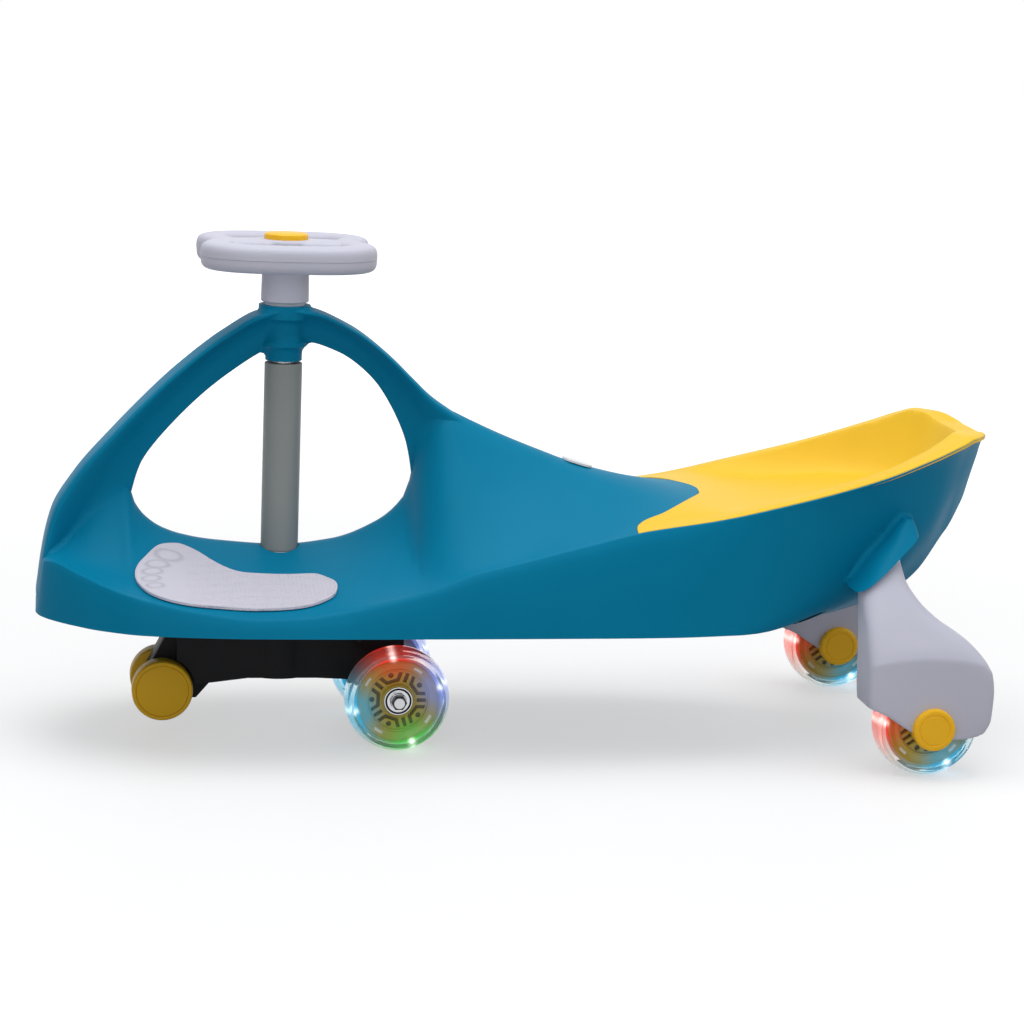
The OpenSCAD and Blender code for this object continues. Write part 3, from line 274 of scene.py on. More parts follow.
class Bench:
    """Tools that finish a piece's mesh."""

    @staticmethod
    def linked(name: str, data: bpy.types.ID) -> Obj:
        """A new object in the scene."""
        obj = bpy.data.objects.new(name, data)
        bpy.context.scene.collection.objects.link(obj)
        return obj

    @staticmethod
    def welded(mesh: bpy.types.Mesh, flat: float = 0.0) -> bpy.types.Mesh:
        """The mesh with doubles merged, and faces joined that bend by less than an angle in degrees."""
        work = bmesh.new()
        work.from_mesh(mesh)
        bmesh.ops.remove_doubles(work, verts=work.verts, dist=DOUBLES)
        if flat:
            bmesh.ops.dissolve_limit(work, angle_limit=math.radians(flat), verts=work.verts, edges=work.edges)
        work.to_mesh(mesh)
        work.free()
        return mesh

    @staticmethod
    def applied(obj: Obj) -> Obj:
        """The object with its modifiers worked into its mesh."""
        graph = bpy.context.evaluated_depsgraph_get()
        mesh = bpy.data.meshes.new_from_object(obj.evaluated_get(graph))
        obj.modifiers.clear()
        old, obj.data = obj.data, mesh
        bpy.data.meshes.remove(old)
        return obj

    @staticmethod
    def coords(obj: Obj) -> Array:
        """The object's corner points in millimetres."""
        flat = np.empty(len(obj.data.vertices) * 3)
        obj.data.vertices.foreach_get("co", flat)
        return flat.reshape(-1, 3) / MM

    @staticmethod
    def reshaped(obj: Obj, points: Array) -> Obj:
        """The object with its corner points at new places in millimetres."""
        obj.data.vertices.foreach_set("co", (points * MM).ravel())
        obj.data.update()
        return obj

    @staticmethod
    def skinned(obj: Obj, voxel: float) -> Obj:
        """One even skin over all the closed forms in the mesh, with cells of the given size."""
        tool = obj.modifiers.new("skin", "REMESH")
        tool.mode = "VOXEL"
        tool.voxel_size = voxel * MM
        return Bench.applied(obj)

    @staticmethod
    def relaxed(obj: Obj, rounds: int, push: float = 0.0,
                share: Array | None = None) -> Obj:
        """Moves each point half way to the mean of its neighbours, then back by push, round by round.

        Args:
            obj: The object whose mesh is smoothed.
            rounds: How many times.
            push: Share of the way back, which keeps the volume.
            share: Strength at each point, or None for full strength everywhere.
        Returns:
            The same object.
        """
        points = Bench.coords(obj)
        ends = np.empty(len(obj.data.edges) * 2, np.int32)
        obj.data.edges.foreach_get("vertices", ends)
        a, b = ends.reshape(-1, 2).T
        n = len(points)
        degree = np.maximum(np.bincount(a, minlength=n) + np.bincount(b, minlength=n), 1)[:, None]
        strength = 1.0 if share is None else share[:, None]
        for _ in range(rounds):
            for step in (0.5, -push):
                total = np.stack([np.bincount(a, points[b, k], n) + np.bincount(b, points[a, k], n)
                                  for k in range(3)], -1)
                points = points + step * strength * (total / degree - points)
        return Bench.reshaped(obj, points)

    @staticmethod
    def cut(obj: Obj, cutter: Obj, way: Cut = Cut.AWAY) -> Obj:
        """The object cut by another, which is then removed."""
        tool = obj.modifiers.new("cut", "BOOLEAN")
        tool.operation, tool.solver, tool.object = way.value, "MANIFOLD", cutter
        before = len(obj.data.polygons)
        Bench.applied(obj)
        LOG.info("cut %s: %d faces to %d", obj.name, before, len(obj.data.polygons))
        bpy.data.objects.remove(cutter)
        return obj

    @staticmethod
    def placed(obj: Obj, x: float, y: float, side: int) -> Obj:
        """The object with its mesh shifted, and mirrored to the right for side -1."""
        points = (Bench.coords(obj) + [x, y, 0]) * [1, side, 1]
        if side < 0:
            obj.data.flip_normals()
        return Bench.reshaped(obj, points)

    @staticmethod
    def bevelled(obj: Obj, width: float, angle: float, segments: int = 3) -> Obj:
        """Edges sharper than the angle rounded to a width in millimetres."""
        tool = obj.modifiers.new("round", "BEVEL")
        tool.width, tool.segments = width * MM, segments
        tool.limit_method, tool.angle_limit = "ANGLE", math.radians(angle)
        return Bench.applied(obj)
    @staticmethod
    def tagged(obj: Obj, name: str, values: Array) -> None:
        """Keeps a number or a colour for each corner point as an attribute."""
        kind, key = ("FLOAT", "value") if values.ndim == 1 else ("FLOAT_COLOR", "color")
        layer = obj.data.attributes.new(name, kind, "POINT")
        layer.data.foreach_set(key, values.astype(np.float32).ravel())


class Kit:
    """Shader nodes, and the node group that all finishes share."""

    @staticmethod
    def nodes(tree: Tree, *kinds: str) -> list[Node]:
        """New shader nodes of the given kinds."""
        return [tree.nodes.new(f"ShaderNode{kind}") for kind in kinds]

    @staticmethod
    def put(node: Node, values: dict[str, float | tuple[float, ...]]) -> None:
        """Gives a node's inputs fixed values."""
        for name, value in values.items():
            node.inputs[name].default_value = value

    @staticmethod
    def wire(tree: Tree, *wires: Wire) -> None:
        """Links outputs of nodes to inputs of nodes."""
        for source, out, target, into in wires:
            tree.links.new(source.outputs[out], target.inputs[into])

    @staticmethod
    def grain() -> Tree:
        """Group of fine moulded grain: a height, a mottled mask and a roughness that follows it."""
        found = bpy.data.node_groups.get("moulded_grain")
        if found:
            return found
        group = bpy.data.node_groups.new("moulded_grain", "ShaderNodeTree")
        group.interface.new_socket("Vector", in_out="INPUT", socket_type="NodeSocketVector")
        for way, names in (("INPUT", ("Grain Scale", "Mottle Scale", "Rough Low", "Rough High")),
                           ("OUTPUT", ("Mottle", "Roughness", "Height"))):
            for name in names:
                group.interface.new_socket(name, in_out=way, socket_type="NodeSocketFloat")
        inside, outside = group.nodes.new("NodeGroupInput"), group.nodes.new("NodeGroupOutput")
        fine, broad, spread, rough = Kit.nodes(group, "TexNoise", "TexNoise", "MapRange", "MapRange")
        for tex, scale, detail in ((fine, "Grain Scale", 3), (broad, "Mottle Scale", 4)):
            Kit.put(tex, {"Detail": detail})
            Kit.wire(group, (inside, "Vector", tex, "Vector"), (inside, scale, tex, "Scale"))
        for tool in (spread, rough):
            Kit.put(tool, {"From Min": 0.3, "From Max": 0.7})
            Kit.wire(group, (broad, "Fac", tool, "Value"))
        Kit.wire(group, (inside, "Rough Low", rough, "To Min"), (inside, "Rough High", rough, "To Max"),
                 (spread, "Result", outside, "Mottle"), (rough, "Result", outside, "Roughness"),
                 (fine, "Fac", outside, "Height"))
        return group

    @staticmethod
    def sheet(name: str) -> tuple[bpy.types.Material, Tree, Node]:
        """A new material with its node tree and its Principled shader."""
        material = bpy.data.materials.new(name)
        material.use_nodes = True
        return material, material.node_tree, material.node_tree.nodes["Principled BSDF"]

    @staticmethod
    def dressed(tree: Tree, shader: Node, finish: "Plastic") -> Node:
        """Feeds a shader's colour, roughness and normal from the grain group.

        Args:
            tree: The material's nodes.
            shader: Its Principled shader.
            finish: The finish whose values are used.
        Returns:
            The node that mixes the two tints.
        """
        place, grain, tint, bump = Kit.nodes(tree, "TexCoord", "Group", "Mix", "Bump")
        grain.node_tree, tint.data_type = Kit.grain(), "RGBA"
        Kit.put(grain, {"Grain Scale": finish.grain_scale, "Mottle Scale": finish.mottle_scale,
                        "Rough Low": finish.roughness - finish.spread,
                        "Rough High": finish.roughness + finish.spread})
        Kit.put(tint, {"A": (*finish.colour, 1), "B": (*finish.shade, 1)})
        Kit.put(shader, {"Specular IOR Level": finish.specular})
        Kit.put(bump, {"Strength": finish.grain, "Distance": finish.grain_depth * MM})
        Kit.wire(tree, (place, "Object", grain, "Vector"), (grain, "Mottle", tint, "Factor"),
                 (tint, "Result", shader, "Base Color"), (grain, "Roughness", shader, "Roughness"),
                 (grain, "Height", bump, "Height"), (bump, "Normal", shader, "Normal"))
        return tint

    @staticmethod
    def over(tree: Tree, last: Node, name: str, colour: Colour) -> Node:
        """Mixes a colour over the last mix, as much as the attribute of that name says."""
        where, both = Kit.nodes(tree, "Attribute", "Mix")
        where.attribute_name, both.data_type = name, "RGBA"
        Kit.put(both, {"B": (*colour, 1)})
        Kit.wire(tree, (where, "Fac", both, "Factor"), (last, "Result", both, "A"))
        return both


@dataclass(frozen=True)
class Plastic:
    """Moulded plastic or plain metal: two close tints, a roughness and a fine grain."""

    slot: str
    colour: Colour
    shade: Colour
    roughness: float = 0.42
    spread: float = 0.04
    grain: float = 0.12
    grain_depth: float = 0.25
    grain_scale: float = 1400.0
    mottle_scale: float = 9.0
    metallic: float = 0.0
    coat: float = 0.0
    specular: float = 0.35
    tone: str = ""

    def material(self) -> bpy.types.Material:
        """The finish as a material, built once."""
        name = f"{self.slot}{self.tone}_finish"
        found = bpy.data.materials.get(name)
        if found:
            return found
        material, tree, shader = Kit.sheet(name)
        Kit.put(shader, {"Metallic": self.metallic, "Coat Weight": self.coat})
        self.paint(tree, shader, Kit.dressed(tree, shader, self))
        return material

    def paint(self, tree: Tree, shader: Node, tint: Node) -> None:
        """Adds what a finish has beyond its tints and grain, which here is nothing.

        Args:
            tree: The material's nodes.
            shader: Its Principled shader.
            tint: The node that mixes the two tints.
        """


@dataclass(frozen=True)
class Ringed(Plastic):
    """Metal darkened by painted shade where the attribute recess is 1."""

    # colour of the painted shade in the bearings' groove and round the bore
    ring_shade: Colour = (0.012, 0.012, 0.016)

    def paint(self, tree: Tree, shader: Node, tint: Node) -> None:
        """Mixes the painted shade over the metal's tint."""
        Kit.wire(tree, (Kit.over(tree, tint, "recess_shade", self.ring_shade), "Result", shader, "Base Color"))


@dataclass(frozen=True)
class Stippled(Plastic):
    """Plastic with raised dots where the attribute dots is 1, and painted shade in its grooves where recess
    is 1.
    """

    dot_scale: float = 330.0
    dot_depth: float = 0.5
    dot_strength: float = 0.8
    dot_edges: tuple[float, float] = (0.5, 0.15)
    scatter: float = 0.35
    # colour of the painted shade in the grooves
    groove: Colour = (0.26, 0.26, 0.30)

    def paint(self, tree: Tree, shader: Node, tint: Node) -> None:
        """Lays rows of dots over the grain's bump, and mixes the grooves' painted shade over the tint."""
        grained = shader.inputs["Normal"].links[0].from_node
        place, dots, shape, where = Kit.nodes(tree, "TexCoord", "TexVoronoi", "MapRange", "Attribute")
        held, raised = Kit.nodes(tree, "Math", "Bump")
        where.attribute_name, held.operation = "dots", "MULTIPLY"
        Kit.put(dots, {"Scale": self.dot_scale, "Randomness": self.scatter})
        Kit.put(shape, {"From Min": self.dot_edges[0], "From Max": self.dot_edges[1]})
        Kit.put(raised, {"Strength": self.dot_strength, "Distance": self.dot_depth * MM})
        Kit.wire(tree, (Kit.over(tree, tint, "recess_shade", self.groove), "Result", shader, "Base Color"),
                 (place, "Object", dots, "Vector"), (dots, "Distance", shape, "Value"),
                 (shape, "Result", held, 0), (where, "Fac", held, 1), (held, "Value", raised, "Height"),
                 (grained, "Normal", raised, "Normal"), (raised, "Normal", shader, "Normal"))


@dataclass(frozen=True)
class Clear(Plastic):
    """Clear plastic lit from inside.

    The attribute led gives the tint of the lights, with its strength in alpha, and glow their shine.
    Where the attribute recess is 1 the plastic is darkened as painted shade, and where window is 1 it is
    pale.
    """

    transmission: float = 0.9
    shine: float = 1.0
    index: float = 1.45
    # painted shade laid in the hub's sunk pattern
    recess_shade: Colour = (0.075, 0.05, 0.012)
    window: Colour = (0.90, 0.90, 0.88)

    def paint(self, tree: Tree, shader: Node, tint: Node) -> None:
        """Lays the lights' tint over the plastic's, with painted shade in the recesses and the pale windows
        on top.
        """
        Kit.put(shader, {"Transmission Weight": self.transmission, "IOR": self.index,
                         "Emission Strength": self.shine})
        led, glow, lit = Kit.nodes(tree, "Attribute", "Attribute", "Mix")
        led.attribute_name, glow.attribute_name, lit.data_type = "led", "glow", "RGBA"
        dark = Kit.over(tree, lit, "recess_shade", self.recess_shade)
        Kit.wire(tree, (led, "Alpha", lit, "Factor"), (tint, "Result", lit, "A"), (led, "Color", lit, "B"),
                 (glow, "Color", shader, "Emission Color"),
                 (Kit.over(tree, dark, "window", self.window), "Result", shader, "Base Color"))


TEAL = Plastic("teal_body", (0.0008, 0.195, 0.345), (0.0006, 0.180, 0.320), roughness=0.46, specular=0.06)
YELLOW = Plastic("yellow_seat", (0.86, 0.555, 0.035), (0.83, 0.525, 0.030), roughness=0.46, specular=0.2)
GREY = Plastic("grey_plastic", (0.54, 0.54, 0.63), (0.51, 0.51, 0.60), roughness=0.48, specular=0.2)
PAD = Stippled("grey_pad", (0.60, 0.58, 0.66), (0.57, 0.55, 0.63), roughness=0.55, specular=0.25)
WHITE = Plastic("white_plastic", (0.80, 0.80, 0.82), (0.76, 0.76, 0.79), roughness=0.45)
COLUMN = Plastic("column_grey", (0.28, 0.295, 0.285), (0.265, 0.28, 0.27), grain=0.06, specular=0.2)
BLACK = Plastic("black_plastic", (0.005, 0.005, 0.006), (0.007, 0.007, 0.008), roughness=0.48, specular=0.12)
CAP = Plastic("yellow_cap", (0.92, 0.50, 0.012), (0.88, 0.47, 0.010), roughness=0.36, specular=0.25)
GOLD = Plastic("gold_plastic", (0.72, 0.41, 0.012), (0.68, 0.38, 0.010), roughness=0.40, specular=0.2)
ZINC = Plastic("zinc_steel", (0.62, 0.63, 0.65), (0.56, 0.57, 0.59), roughness=0.30, metallic=1.0,
               mottle_scale=60)
# painted shade: a darker, less metallic copy of the zinc finish for the front nuts
SHADED_ZINC = Plastic("zinc_steel", (0.05, 0.05, 0.055), (0.04, 0.04, 0.045), roughness=0.4, metallic=0.3,
                    tone="_shaded")
BEARING = Ringed("bearing_steel", (0.66, 0.67, 0.69), (0.58, 0.59, 0.61), roughness=0.22, metallic=1.0)
MAGNET = Plastic("magnet_grey", (0.10, 0.10, 0.11), (0.13, 0.13, 0.14), roughness=0.6)
TYRE = Clear("clear_tyre", (0.90, 0.90, 0.84), (0.87, 0.87, 0.80), roughness=0.06, spread=0.02, grain=0.02,
             specular=0.5)
LIGHTS = Clear("light_ring", (0.62, 0.56, 0.34), (0.58, 0.52, 0.31), roughness=0.25, grain=0.03,
               transmission=0.3)
AMBER = Clear("amber_hub", (0.58, 0.44, 0.055), (0.54, 0.40, 0.050), roughness=0.24, grain=0.03,
              transmission=0.1)
FINISHES = (TEAL, YELLOW, GREY, PAD, WHITE, COLUMN, BLACK, CAP, GOLD, ZINC, BEARING, MAGNET, TYRE, LIGHTS,
            AMBER)


class Body(Enum):
    """The CAD bodies that pieces ride on."""

    CHASSIS = "chassis"
    STEERING = "steering"
    FRONT_LEFT = "front_left_wheel"
    FRONT_RIGHT = "front_right_wheel"
    REAR_LEFT = "rear_left_wheel"
    REAR_RIGHT = "rear_right_wheel"
    SAFETY_LEFT = "safety_left_wheel"
    SAFETY_RIGHT = "safety_right_wheel"


def fitted(obj: Obj, angle: float, finish: Plastic, body: Body, *nodes: str) -> None:
    """Shades and dresses a piece, lets it ride on its body and stand for its CAD nodes.

    Args:
        obj: The finished piece.
        angle: Edges sharper than this stay sharp, in degrees.
        finish: What it is made of.
        body: The body it moves with.
        nodes: CAD nodes that it stands for.
    """
    obj.data.shade_smooth()
    obj.data.set_sharp_from_angle(angle=math.radians(angle))
    obj.data.materials.clear()
    obj.data.materials.append(finish.material())
    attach(obj, body.value)
    if nodes:
        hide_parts(*nodes)
    LOG.info("%s: %d faces on %s", obj.name, len(obj.data.polygons), body.value)


@dataclass(frozen=True)
class Sizes:
    """Main sizes of the car in millimetres, as in the CAD source."""

    body_l: float = 736.0
    half_w: float = 115.0
    skirt_z: float = 100.0
    arch_z: float = 330.0
    wall: float = 3.2
    arch_w: float = 38.0
    column_x: float = 185.03
    wheel_r: float = 40.0
    front_axle_x: float = 98.03
    front_y: float = 54.0
    rear_axle_x: float = -293.0
    rear_y: float = 130.0
    safety_x: float = 273.03
    safety_y: float = 22.0
    safety_z: float = 39.0
    boss_low_z: float = 289.0
    collar_top_z: float = 330.78
    neck_low_z: float = 333.08
    parting_z: float = 369.58

    @property
    def rise(self) -> float:
        """Height from the skirt to the top of the arch."""
        return self.arch_z - self.skirt_z


@dataclass(frozen=True)
class BodyForm:
    """Shape of the body along its length.

    The first number of each pair is a share of the length from the nose. Heights are shares of
    the rise from the skirt to the top of the arch, and widths are shares of the half width.
    """

    size: Sizes = Sizes()
    ridge_t: Pairs = (
        (0, 0.005), (0.003, 0.105), (0.008, 0.19), (0.018, 0.225), (0.039, 0.3), (0.06, 0.375), (0.074, 0.4),
        (0.088, 0.404), (0.0942, 0.395), (0.0965, 0.368), (0.0995, 0.343), (0.1102, 0.298), (0.1287, 0.258),
        (0.1534, 0.232), (0.183, 0.2175), (0.249, 0.204), (0.303, 0.224), (0.35, 0.287), (0.3765, 0.367),
        (0.3825, 0.417), (0.3875, 0.52), (0.398, 0.61), (0.407, 0.652), (0.416, 0.667), (0.4245, 0.659),
        (0.439, 0.637), (0.4755, 0.585), (0.519, 0.53), (0.557, 0.487), (0.628, 0.433), (0.69, 0.405),
        (0.77, 0.43), (0.849, 0.504), (0.94, 0.615), (0.96, 0.632), (0.98, 0.634), (1, 0.605))
    crest_t: Pairs = (
        (0, 0.05), (0.008, 0.1), (0.018, 0.08), (0.039, 0.06), (0.115, 0.05), (0.14, 0.05), (0.35, 0.05),
        (0.378, 0.07), (0.396, 0.1), (0.414, 0.14), (0.48, 0.18), (0.557, 0.24), (0.628, 0.33),
        (0.69, 0.4), (0.94, 0.4), (0.975, 0.25), (1, 0.04))
    gunwale_w_t: Pairs = (
        (0, 0.1), (0.003, 0.225), (0.008, 0.315), (0.018, 0.42), (0.039, 0.575), (0.076, 0.78),
        (0.107, 0.87), (0.167, 0.93), (0.215, 0.948), (0.322, 0.94), (0.477, 0.913), (0.6, 0.89),
        (0.68, 0.88), (0.77, 0.875), (0.849, 0.845), (0.912, 0.775), (0.942, 0.72), (0.962, 0.635),
        (0.982, 0.48), (0.994, 0.29), (1, 0.11))
    gunwale_z_t: Pairs = (
        (0, 0.002), (0.003, 0.088), (0.008, 0.178), (0.018, 0.187), (0.039, 0.17), (0.076, 0.135),
        (0.107, 0.111), (0.167, 0.076), (0.215, 0.061), (0.262, 0.067), (0.322, 0.1), (0.394, 0.157),
        (0.433, 0.204), (0.477, 0.239), (0.557, 0.304), (0.6, 0.337), (0.683, 0.379), (0.766, 0.439),
        (0.849, 0.51), (0.912, 0.58), (0.942, 0.617), (0.962, 0.634), (0.982, 0.634), (0.994, 0.622),
        (1, 0.605))
    skirt_w_t: Pairs = (
        (0, 0.226), (0.003, 0.315), (0.008, 0.385), (0.018, 0.48), (0.039, 0.626), (0.0625, 0.757),
        (0.107, 0.9), (0.167, 0.965), (0.215, 0.99), (0.322, 1), (0.561, 0.983), (0.633, 0.965),
        (0.707, 0.896), (0.764, 0.817), (0.822, 0.73), (0.88, 0.626), (0.923, 0.54), (0.955, 0.435),
        (0.982, 0.296), (1, 0.09))
    skirt_z_t: Pairs = (
        (0, 0), (0.72, 0), (0.764, 0.01), (0.822, 0.075), (0.88, 0.175), (0.923, 0.326),
        (0.955, 0.475), (0.976, 0.53), (0.99, 0.545), (1, 0.545))
    keel_drop_t: Pairs = (
        (0, 0), (0.7, 0), (0.764, 0.006), (0.822, 0.056), (0.88, 0.108), (0.923, 0.175), (0.955, 0.19),
        (0.976, 0.145), (0.99, 0.06), (1, 0.004))
    keel_w_t: Pairs = ((0, 0.97), (0.7, 0.97), (0.8, 0.6), (0.9, 0.5), (1, 0.5))
    flank_t: Pairs = (
        (0, 1), (0.012, 1.5), (0.03, 2.6), (0.08, 2.8), (0.105, 1.9), (0.125, 1.35), (0.15, 1.1),
        (0.19, 0.95), (0.3, 0.95), (0.35, 1.4), (0.385, 1.9), (0.405, 1.6), (0.44, 1.4), (0.52, 1.42),
        (0.6, 1.25), (0.7, 1), (1, 1))
    seat_floor_t: Pairs = (
        (0.55, 0.47), (0.65, 0.42), (0.69, 0.398), (0.73, 0.391), (0.79, 0.394), (0.845, 0.407),
        (0.885, 0.416), (0.92, 0.43), (1, 0.48))
    tongue_t: Pairs = (
        (0, 0.6895), (0.12, 0.6868), (0.29, 0.6745), (0.47, 0.6548), (0.62, 0.631), (0.71, 0.6085),
        (0.78, 0.6), (0.84, 0.5985), (1.04, 0.597))
    rim_t: Pairs = (
        (0.0014, 0.05), (0.0068, 0.183), (0.0163, 0.313), (0.0394, 0.439), (0.0774, 0.583),
        (0.1386, 0.783), (0.1875, 0.909), (0.2215, 0.974), (0.2486, 0.996), (0.2758, 0.988),
        (0.318, 0.932), (0.356, 0.843), (0.382, 0.764), (0.402, 0.702), (0.436, 0.625))
    edge_t: Pairs = (
        (0.045, 0.05), (0.05, 0.13), (0.067, 0.217), (0.0915, 0.335), (0.1046, 0.47),
        (0.1522, 0.661), (0.1943, 0.778), (0.2296, 0.852), (0.2486, 0.874), (0.2731, 0.88),
        (0.3057, 0.848), (0.3383, 0.772), (0.3573, 0.691), (0.378, 0.545), (0.3868, 0.391))
    taper_t: Pairs = (
        (0, 1.6), (0.07, 1.5), (0.14, 1.2), (0.22, 1.02), (0.5, 1), (0.75, 0.92), (0.9, 0.8), (1, 0.55))
    section_t: Pairs = (
        (-0.03, 0), (-0.025, 0.5), (-0.005, 0.85), (0.03, 0.98), (0.07, 1), (0.12, 0.97), (0.2, 0.88),
        (0.3, 0.74), (0.45, 0.53), (0.65, 0.35), (0.85, 0.22), (0.96, 0.17), (0.99, 0.12), (1, 0))
    tuck: float = 0.0085
    tuck_from: float = 0.93
    tuck_over: float = 0.07
    lip_w: float = 1.6
    seat_proud: float = 0.1
    seat_t: float = 2.6
    gap: float = 0.4
    seat_back: float = 0.997
    crown: float = 2.4
    crown_run: float = 8.0
    wall_start: float = 14.0
    tail_start: float = 25.0
    wall_run: float = 20.0
    tail_run: float = 40.0
    to_tail: Fade = Fade(0.86, 0.1)
    to_pan: Fade = Fade(0.63, 0.12)
    slope_step: float = 0.004
    least: float = 0.01

    def x(self, s: Value) -> Array:
        """Place along X at a share of the length, the tail drawn in by the square of the way along it."""
        drawn = np.square(np.clip((s - self.tuck_from) / self.tuck_over, 0, 1))
        return self.size.body_l * (0.5 - s + self.tuck * drawn)

    def z(self, table: Pairs, s: Value) -> Array:
        """Height that a table gives at a share of the length."""
        return self.size.skirt_z + self.size.rise * curve(table, s)

    def w(self, table: Pairs, s: Value) -> Array:
        """Half width that a table gives at a share of the length."""
        return self.size.half_w * curve(table, s)

    def top(self, s: Array, y: Array) -> Array:
        """Height of the body's top: a parabola over the crest, then a power of the way to the gunwale.

        The parabola's drop is chosen so that both have the same slope where they meet.
        """
        ridge, crest = self.z(self.ridge_t, s), self.w(self.crest_t, s)
        edge_z, power = self.z(self.gunwale_z_t, s), curve(self.flank_t, s)
        reach = self.w(self.gunwale_w_t, s) - crest
        turn = power * crest / 2 / reach
        drop = turn * (ridge - edge_z) / (1 + turn)
        u = np.clip((np.abs(y) - crest) / reach, 0, 1)
        flank = edge_z + (ridge - drop - edge_z) * np.power(1 - u, power)
        return np.where(np.abs(y) < crest, ridge - drop * np.square(y / crest), flank)

    def seat_w(self, s: Array) -> Array:
        """Half width of the seat."""
        return self.w(self.gunwale_w_t, s) - self.lip_w

    def seat(self, s: Array, y: Array) -> Array:
        """Height of the seat: the body's top in front, turning into a pan with a round rim.

        The distance from the border blends the way to the side, divided by the border's slant, with
        the way to the tail. The rim starts at the height of the nearest border as a quarter ellipse of
        that distance, and further in a parabola falls from a crisp edge to the pan's floor.
        """
        length, table, step = self.size.body_l, self.gunwale_w_t, self.slope_step
        slope = (self.w(table, s - step) - self.w(table, s + step)) / (2 * step * length)
        slant = np.sqrt(1 + np.square(slope))
        beside = np.maximum(self.least, self.seat_w(s) - np.abs(y)) / slant
        behind = np.maximum(self.least, (self.seat_back - s) * length)
        inside = (beside ** -4 + behind ** -4) ** -0.25
        nearest = np.minimum(self.seat_back, s + beside * slope / slant / length)
        border = mix(self.seat_back, nearest, behind ** 4 / (beside ** 4 + behind ** 4))
        up = self.crown * np.sqrt(1 - np.square(1 - np.minimum(1, inside / self.crown_run)))
        edge = self.z(self.gunwale_z_t, border) + self.seat_proud
        tail = self.to_tail.at(s)
        start, run = mix(self.wall_start, self.tail_start, tail), mix(self.wall_run, self.tail_run, tail)
        fall = np.clip((inside - start) / run, 0, 1)
        pan = mix(edge + up, self.z(self.seat_floor_t, s), fall * (2 - fall))
        front = self.top(s, y) + self.seat_proud
        return mix(front, pan, self.to_pan.at(s))

    def seat_lanes(self, rows: int, lanes: int, grow: float) -> tuple[Array, Array]:
        """Shares of the length and places across on lanes that run back from the tongue.

        Each lane keeps its share of the seat's width. Its start is where it meets the tongue's
        outline, found by repeating the reading of that outline.

        Args:
            rows: Points along a lane.
            lanes: Number of lanes.
            grow: How far the outline is pushed out, in millimetres.
        Returns:
            The shares of the length and the places across, rows by lanes.
        """
        c = np.sin(np.linspace(-1, 1, lanes) * np.pi / 2)[None, :]
        start = np.full_like(c, 0.64)
        for _ in range(40):
            start = mix(start, curve(self.tongue_t, np.abs(c) * self.seat_w(start) / self.size.half_w), 0.5)
        start = start - (min(grow, self.gap) - self.gap) / self.size.body_l
        last = self.seat_back + 1.5 * grow / self.size.body_l
        s = mix(start, last, crowded(0, 1, rows - 1)[:, None])
        return s, c * (self.seat_w(s) + grow)


@dataclass(frozen=True)
class LegForm:
    """Shape of a rear leg, with its wheel's middle at the origin of X and Y.

    Each row holds a share of the top's height, then the front, back, inner and outer faces as
    shares of the leg's length and width.
    """

    length: float = 107.0
    width: float = 45.0
    top_z: float = 182.0
    rows: Pairs = (
        (0.165, -0.36, 0.37, -0.46, 0.46), (0.25, -0.44, 0.44, -0.49, 0.49),
        (0.36, -0.47, 0.449, -0.5, 0.5), (0.44, -0.475, 0.43, -0.5, 0.5),
        (0.475, -0.475, 0.398, -0.51, 0.498), (0.497, -0.475, 0.375, -0.52, 0.468),
        (0.57, -0.475, 0.26, -0.585, 0.34), (0.643, -0.475, 0.075, -0.69, 0.18),
        (0.714, -0.47, -0.055, -0.82, -0.02), (0.797, -0.465, -0.135, -1.02, -0.29),
        (0.88, -0.455, -0.155, -1.26, -0.56), (1, -0.44, -0.165, -1.6, -0.89))
    round_t: Pairs = ((0.165, 0.24), (0.45, 0.27), (0.6, 0.4), (0.75, 0.7), (1, 0.85))
    arc: float = 6.0
    arc_at: float = 0.486
    arc_reach: float = 0.09
    mouth_x: float = 50.0
    mouth_z: float = 138.5
    mouth_tilt: float = 38.0
    depth: float = 0.8
    low_t: Pairs = ((-0.7, 0.33), (-0.4, 0.29), (-0.1, 0.195), (0.2, 0.17), (0.42, 0.2), (0.7, 0.3))

    def column(self, i: int) -> Pairs:
        """One face's shares against the height."""
        return tuple((row[0], row[i]) for row in self.rows)

    def patch(self, grow: float = 0.0, levels: int = 60, sides: int = 72) -> Patch:
        """Rounded sections stacked from bottom to top.

        A section is a circle whose sine and cosine are raised to a power below 1, which squares it.

        Args:
            grow: How far each face is pushed out.
            levels: Number of sections.
            sides: Points round a section.
        Returns:
            The closed surface.
        """
        s = np.linspace(self.rows[0][0], self.rows[-1][0], levels)[:, None]
        a = 2 * np.pi * np.arange(sides)[None, :] / sides
        power = curve(self.round_t, s)
        cx, cy = powered(np.cos(a), power), powered(np.sin(a), power)
        front, back, inner, outer = (curve(self.column(k), s) for k in (1, 2, 3, 4))
        x = mix(-back * self.length - grow, -front * self.length + grow, (1 + cx) / 2)
        y = mix(inner * self.width - grow, outer * self.width + grow, (1 + cy) / 2)
        z = s * self.top_z + self.arc * (1 - np.square(cx)) * bell(s - self.arc_at, self.arc_reach)
        return Patch.grid(joined(x, y, z), wrap=True, cap=True)

    def over_mouth(self, depth: float = 0.0) -> Patch:
        """Block that fills the space above the slanting mouth of the leg's socket.

        Args:
            depth: How far inside the mouth it starts.
        Returns:
            The closed block.
        """
        far = 2 * self.top_z
        x, z = far * np.array([-1.0, 1, 1, -1]), np.array([depth, depth, far, far])
        block = Patch.block(x, z, -self.top_z, self.top_z)
        return block.tilted(self.mouth_tilt).moved(self.mouth_x, 0, self.mouth_z)


